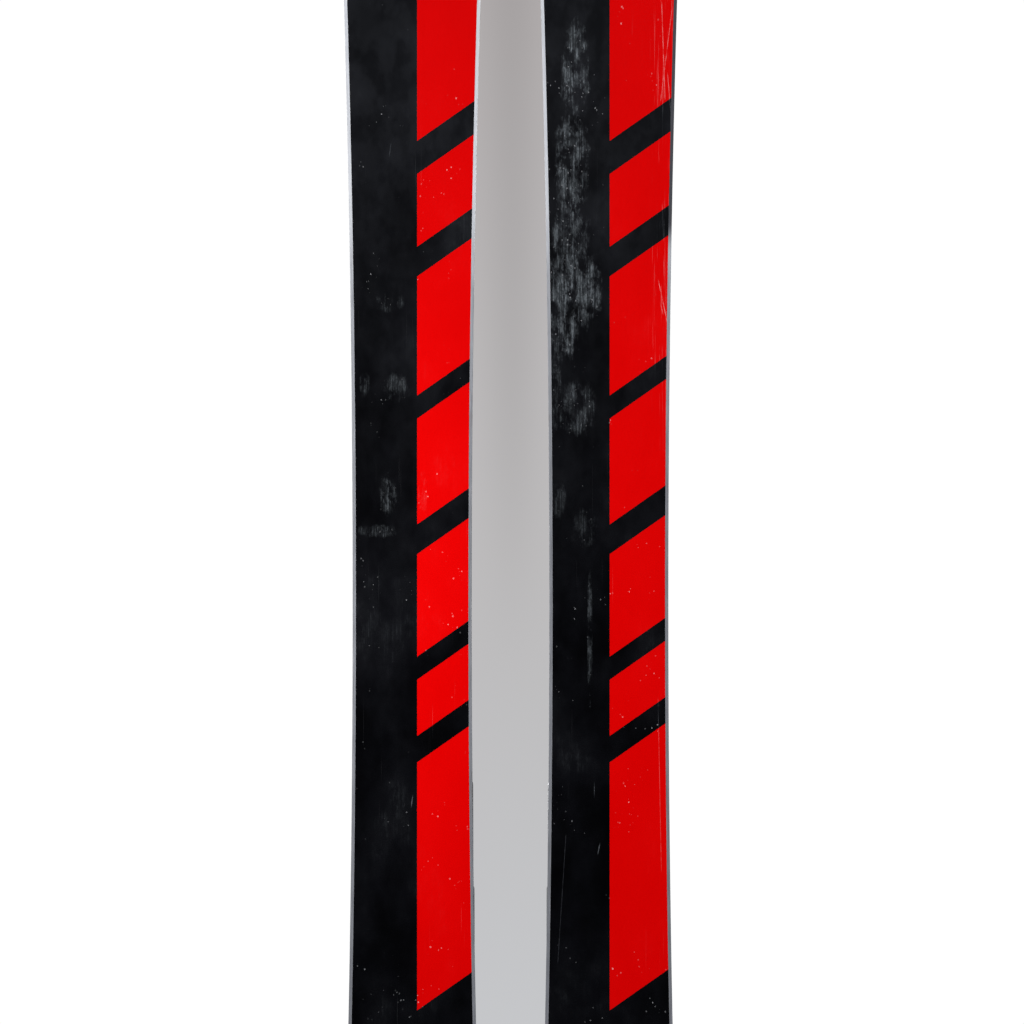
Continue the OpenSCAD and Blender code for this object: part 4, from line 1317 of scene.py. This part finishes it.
def heel_housing():
    body = bevelled(prism(HEEL_BODY, "y", -20.2, 20.2), 3.2, 4, 2)
    drum = cylinder((HEEL_X, -20.05, HEEL_Z), (HEEL_X, 20.05, HEEL_Z), 18.5, 64, 1.6)
    barrel = lathe([(-2, 12), (0, 13), (37.5, 13), (39.2, 12.4), (40, 11.6)],
                   HEEL_PIVOT, BARREL_AXIS, 64)
    cup = bevelled(prism(sector(CUP_CENTRE_X, 35.4, 44, 144, 216, 28), "z", 36, 70), 1.4, 3)
    lip = bevelled(prism(sector(CUP_CENTRE_X, 27.5, 44, 146, 214, 28), "z", 64.8, 70), 1.2, 3)
    tread = bevelled(block((-161, -134), (-11.4, 11.4), (27.5, 33.4), [0, 3, 3, 0]), 1.0, 2, 40)
    stubs = [cylinder((LEVER_X, 18 * side, LEVER_Z), (LEVER_X, 25 * side, LEVER_Z), 3, 28, 0.4)
             for side in (1, -1)]
    cuts = [heel_hole(4.08),
            hole(HEEL_PIVOT + BARREL_AXIS * 8, HEEL_PIVOT + BARREL_AXIS * 50, 10.2, 64),
            block((-214, -190), (-5.2, 5.2), (72.6, 90), 2, 4)]   # window on the top
    for y in (-13.5, -11, 11, 13.5):   # grooves beside it
        cuts.append(block((-218, -176), (y - 0.55, y + 0.55), (72.9, 90), 0.5, 2))
    upper = [(-196, 60), (-166, 60), (-166, 68), (-180, 69.5), (-200, 69.5)]
    lower = [(-182, 34), (-164, 34), (-164, 55), (-178, 55)]
    for side in (1, -1):   # recesses in the flanks
        for recess in (upper, lower):
            cuts.append(rounded_prism(recess, 2, "y", *span(side, 19.2, 30), steps=4))
    cuts += block_row((-155, -153.4), 5, 4, (-9.5, 9.5), (32.7, 36))
    return softened(boolean(union(body, drum, barrel, cup, lip, tread, *stubs), cuts), angle=40)


def heel_screw():
    """The slotted tension screw at the end of the barrel."""
    across = Vector((0, 1, 0))
    other = BARREL_AXIS.cross(across).normalized()
    start = HEEL_PIVOT + BARREL_AXIS * 37.3
    slot = [[start + BARREL_AXIS * depth + across * a * 6.5 + other * b * 0.95
             for a, b in ((1, 1), (-1, 1), (-1, -1), (1, -1))] for depth in (0, 5)]
    body = lathe(HEEL_SCREW, HEEL_PIVOT, BARREL_AXIS, 48)
    return softened(boolean(body, [solid_between(*slot)]), 0.2, angle=40)


def heel_lever():
    """Drawn upright about its pivot, then turned and set in place."""
    outline = arc(0, 0, 6, 180, 360, 14) + [(6, 2), (4.4, 14), (4.0, 32), (3.0, 38),
                                            (-4.2, 38), (-5.4, 14)]
    arms = [bevelled(prism(outline, "y", *span(side, 20.6, 25.2)), 0.8, 2, 40)
            for side in (1, -1)]
    handle = bevelled(prism(LEVER_HANDLE, "y", -25.05, 25.05), 1.2, 3, 5)
    cuts = [hole((0, -30, 0), (0, 30, 0), 3.08)]
    for i in range(5):   # grip grooves
        z = 42 + i * 3.6
        cuts.append(block((-14, 14), (z, z + 1.5), (3.0, 9), 0.6, 2, "x"))
    lever = softened(boolean(union(handle, *arms), cuts), angle=40)
    turn = Matrix.Rotation(math.pi / 2 - LEVER_ANGLE, 4, "Y")
    lever.transform(Matrix.Translation((LEVER_X, 0, LEVER_Z)) @ turn)
    return lever


fit("heel_base", heel_base(), "heel_carriage", RAIL)
fit("heel_pins", heel_pins(), "heel_carriage", SCREW)
fit("length_screw", length_screw(), "length_screw_body", SCREW)
fit("heel_housing", heel_housing(), "heel_cup", BINDING, angle=30)
fit("heel_spring",
    coil(HEEL_PIVOT + BARREL_AXIS * 8.5, BARREL_AXIS, length=24.5, radius=7.6, wire=1.5,
         turns=5.5),
    "heel_cup", SPRING, angle=60)
fit("heel_tension_screw", heel_screw(), "heel_screw", SCREW)
fit("heel_lever", heel_lever(), "lever", LEVER_RED, angle=30)

# ------------------------------------------------------------------------------------------
# Brake
# ------------------------------------------------------------------------------------------
LEAN, STOW = math.radians(12.7), math.radians(15)   # tilt of the wire's root and of its arm
ARM_CORNER = Vector((-125, 34.2, 27))
ARM_IN = Vector((0, -math.cos(LEAN), -math.sin(LEAN)))
ARM_BACK = Vector((-math.cos(STOW), 0, math.sin(STOW)))
BRAKE_FOOT = [(-69, 3.6), (-74, -3), (-84, -7), (-108, -7), (-113.4, -3.4), (-114, 3),
              (-110, 7), (-78, 7)]   # x, z before the arm's turn


def brake_base():
    carrier = [(-133, 17.5), (-117, 17.5), (-117, 29), (-120, 32), (-130, 32), (-133, 29)]
    lug = [(-112.5, 17.5), (-103.5, 17.5)] + arc(PEDAL_X, PEDAL_Z, 4.5, 0, 180, 16)
    parts = [bevelled(block((-142, -76), (-25.5, 25.5), (15.5, 18.5), 3), 0.5, 2, 40)]
    cuts = [hole((PEDAL_X, -20, PEDAL_Z), (PEDAL_X, 20, PEDAL_Z), 2.04)]
    for side in (1, -1):
        box = rounded_prism(carrier, [0, 0, 1, 2, 2, 1], "y", *span(side, 12, 25.5), steps=4)
        parts += [bevelled(box, 0.8, 2, 40),
                  bevelled(prism(lug, "y", *span(side, 12, 17)), 0.4, 2, 40)]
        flip = Vector((1, side, 1))
        corner, inwards = ARM_CORNER * flip, ARM_IN * flip
        cuts.append(hole(corner - inwards * 5, corner + inwards * 30, 2.35, 28))
    return softened(boolean(union(*parts), cuts), 0.25, angle=40)


def brake_pedal():
    hub = cylinder((PEDAL_X, -11.6, PEDAL_Z), (PEDAL_X, 11.6, PEDAL_Z), 4.5, 40, 0.5)
    web = prism([(PEDAL_X, PEDAL_Z), (-104.6, 22.6), (-88, 31.2), (PEDAL_X, 31.2)],
                "y", -11.4, 11.4)
    pad = bevelled(block((-108, -76), (-22, 22), (30.4, 34), [3, 4, 4, 3], 6), 0.9, 3, 40)
    cuts = [hole((PEDAL_X, -20, PEDAL_Z), (PEDAL_X, 20, PEDAL_Z), 2.08)]
    cuts += block_row((-104.5, -102.7), 4.6, 6, (-18.5, 18.5), (33.2, 36), 0.6, 2)
    return softened(boolean(union(pad, hub, web), cuts), 0.25, angle=40)


def brake_wire():
    """One bent rod: a root in the carrier, a tight bend, then the arm."""
    root = [ARM_CORNER + ARM_IN * d for d in (23.5, 18, 12, 6.5, 5.2, 4.2)]
    arm = [ARM_CORNER + ARM_BACK * d for d in (4.2, 5.2, 7, 20, 40, 60, 80, 100, 107.9)]
    curve = []
    for part in (i / 10 for i in range(1, 10)):
        curve.append(root[-1] * (1 - part) ** 2 + ARM_CORNER * 2 * part * (1 - part)
                     + arm[0] * part ** 2)
    return tube(root + curve + arm, 2.25, 18)


def brake_foot():
    foot = bevelled(rounded_prism(BRAKE_FOOT, 3, "y", -4.2, 2.8), 2.0, 3, 50)
    grooves = block_row((-106, -103.6), 6.4, 4, (-4.6, 4.6), (2.34, 5), 1.0, 3, "y")
    foot = softened(boolean(foot, grooves), 0.25, angle=45)
    foot.transform(Matrix.Translation(ARM_CORNER) @ Matrix.Rotation(STOW, 4, "Y"))
    return foot


fit("brake_base", brake_base(), "heel_carriage", BRAKE)
fit("brake_pedal", brake_pedal(), "pedal", BRAKE)
fit_pair("brake_arm", brake_wire(), "arm", WIRE, angle=60)
fit_pair("brake_foot", brake_foot(), "arm", BRAKE, angle=35, replaces=False)

# The core is closed in by the laminate; it keeps its CAD shape and gets its wood.
for side in SIDES:
    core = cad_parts[side + "_wood_core"]
    core.data.materials.clear()
    core.data.materials.append(CORE_WOOD)

# ------------------------------------------------------------------------------------------
# Floor, world, lights and camera (metres)
# ------------------------------------------------------------------------------------------
scene = bpy.context.scene
scene.view_settings.view_transform = "Standard"
scene.view_settings.look = "None"
FLOOR_RADIUS, FLOOR_Z, FLOOR_SEGMENTS = 1.5, -0.0004, 96


def floor_disc():
    mesh = bmesh.new()
    centre = mesh.verts.new((0, 0, FLOOR_Z))
    angles = [2 * math.pi * k / FLOOR_SEGMENTS for k in range(FLOOR_SEGMENTS)]
    ring = [mesh.verts.new((FLOOR_RADIUS * math.cos(a), FLOOR_RADIUS * math.sin(a), FLOOR_Z))
            for a in angles]
    for k in range(FLOOR_SEGMENTS):
        mesh.faces.new((centre, ring[k], ring[(k + 1) % FLOOR_SEGMENTS]))
    return add_object("floor", mesh)


def floor_paper():
    """Pale to the camera, dark to the light it would bounce onto the skis."""
    g = Material("floor_paper")
    seen = g.value("ShaderNodeLightPath", "Is Camera Ray")
    paper = g.mix(g.noise(scale=6.0), (0.80, 0.80, 0.80), (0.84, 0.84, 0.84))
    normal = g.noise(scale=500.0).bump(distance=0.0001, strength=0.2)
    return g.finish(g.mix(seen, (0.10, 0.10, 0.10), paper), 0.7, normal, specular=0.2)


floor = floor_disc()
floor.data.materials.append(floor_paper())

GAP_HALF_WIDTH, GAP_BLUR = 0.0175, 0.0015   # the grey band of painted shade seen between the skis
GAP_SHADE_COLORS = [(0.0, (0.57, 0.58, 0.60)), (0.45, (0.50, 0.49, 0.495)),
              (1.0, (0.40, 0.375, 0.375))]   # painted shade, from low to high
# Brightness of the room by height of the direction, and its tint
FRONT_ROOM = [(-0.5, 0.0), (-0.05, 0.0), (0.04, 0.045), (0.13, 0.34), (0.40, 0.46), (1.0, 0.75)]
BACK_ROOM = [(-0.5, 0.07), (-0.1, 0.12), (0.15, 0.30), (0.5, 0.60), (1.0, 0.85)]
FRONT_TINT, BACK_TINT = (0.86, 0.92, 1.08), (0.965, 0.98, 1.0)


def seen_backdrop(g, x, y, z):
    """White, with a soft grey band of painted shade straight behind the gap between the skis."""
    def plain_math(operation, *values):
        inputs = {f"_{i}": value for i, value in enumerate(values)}
        return g.value("ShaderNodeMath", 0, {"operation": operation}, **inputs)

    from_middle = plain_math("ABSOLUTE", x)
    in_gap = from_middle.remap(start=GAP_HALF_WIDTH + GAP_BLUR, end=GAP_HALF_WIDTH - GAP_BLUR,
                               low=0.0, high=1.0)
    band = plain_math("MULTIPLY", in_gap, plain_math("GREATER_THAN", y, 0.9))
    grey = g.ramp(z.remap(start=-0.16, end=0.16, low=0.0, high=1.0), GAP_SHADE_COLORS)
    # painted shade: the band is a little darker along its middle, except low down
    stripe = from_middle.step(start=0.0, end=0.012, low=0.93, high=1.05)
    lower = z.step(start=-0.06, end=0.05, low=1.0, high=0.0)
    gain = lower.remap(start=0.0, end=1.0, low=stripe, high=1.0)
    grey = g.value("ShaderNodeVectorMath", 0, {"operation": "SCALE"}, _0=grey, Scale=gain)
    return g.mix(band, (1.02, 1.02, 1.02), grey)


def room_light(g, y, z):
    """A soft room, brighter overhead; on the bases' side it is dark below the horizon."""
    def room(stops, tint):
        height = z.remap(start=-0.5, end=1.0, low=0.0, high=1.0)
        return g.ramp(height, [((level + 0.5) / 1.5, [light * t for t in tint])
                               for level, light in stops])

    front, back = room(FRONT_ROOM, FRONT_TINT), room(BACK_ROOM, BACK_TINT)
    return g.mix(y.step(start=-0.15, end=0.35), front, back)


def build_world():
    world = bpy.data.worlds.new("studio")
    scene.world = world
    world.use_nodes = True
    g = Graph(world.node_tree)
    x, y, z = g.xyz(g.value("ShaderNodeTexCoord", "Generated"))
    seen = g.value("ShaderNodeBackground", _0=seen_backdrop(g, x, y, z), _1=1.0)
    light = g.value("ShaderNodeBackground", _0=room_light(g, y, z), _1=1.0)
    is_camera = g.value("ShaderNodeLightPath", "Is Camera Ray")
    surface = g.value("ShaderNodeMixShader", _0=is_camera, _1=light, _2=seen)
    g.node("ShaderNodeOutputWorld", _0=surface)


def area_light(name, place, target, size, power):
    data = bpy.data.lights.new(name, "AREA")
    data.shape = "RECTANGLE"
    data.size, data.size_y = size
    data.energy = power
    lamp = bpy.data.objects.new(name, data)
    scene.collection.objects.link(lamp)
    lamp.location = place
    lamp.rotation_mode = "QUATERNION"
    lamp.rotation_quaternion = (Vector(target) - Vector(place)).to_track_quat("-Z", "Y")
    return lamp


# name, place, target, (width, height), watts
LIGHTS = [
    ("key", (-1.7, -1.7, 2.3), (0, 0, 0.8), (1.2, 1.2), 60),
    ("fill", (2.0, -1.4, 1.5), (0, 0, 0.7), (1.2, 1.6), 34),
    ("low_left", (-0.30, -0.27, 0.71), (-0.035, -0.05, 0.69), (0.08, 0.10), 0.95),
    ("back", (0.9, 2.1, 2.0), (0, 0, 0.7), (2.2, 2.2), 36),
    ("back_low", (-1.7, 1.6, 0.9), (0, 0, 0.6), (1.0, 1.4), 18),
]
# The camera looks straight at the bases through a window of this height at this distance.
CAMERA_DISTANCE, WINDOW_HEIGHT, SENSOR = 2.2, 0.6195, 36
CAMERA_X, ABOVE_WAIST = 0.0009, 54.5   # the second in mm


def build_camera():
    data = bpy.data.cameras.new("camera")
    camera = bpy.data.objects.new("camera", data)
    scene.collection.objects.link(camera)
    data.sensor_width = SENSOR
    data.lens = SENSOR * CAMERA_DISTANCE / WINDOW_HEIGHT
    data.clip_end = 50
    base_y = origin("left").y + CAMBER / 1000
    camera.location = (CAMERA_X, base_y - CAMERA_DISTANCE, (WAIST_X + ABOVE_WAIST) / 1000)
    camera.rotation_euler = (math.pi / 2, 0, 0)
    scene.camera = camera


build_world()
lamps = {row[0]: area_light(*row) for row in LIGHTS}
lamps["low_left"].visible_camera = False
build_camera()
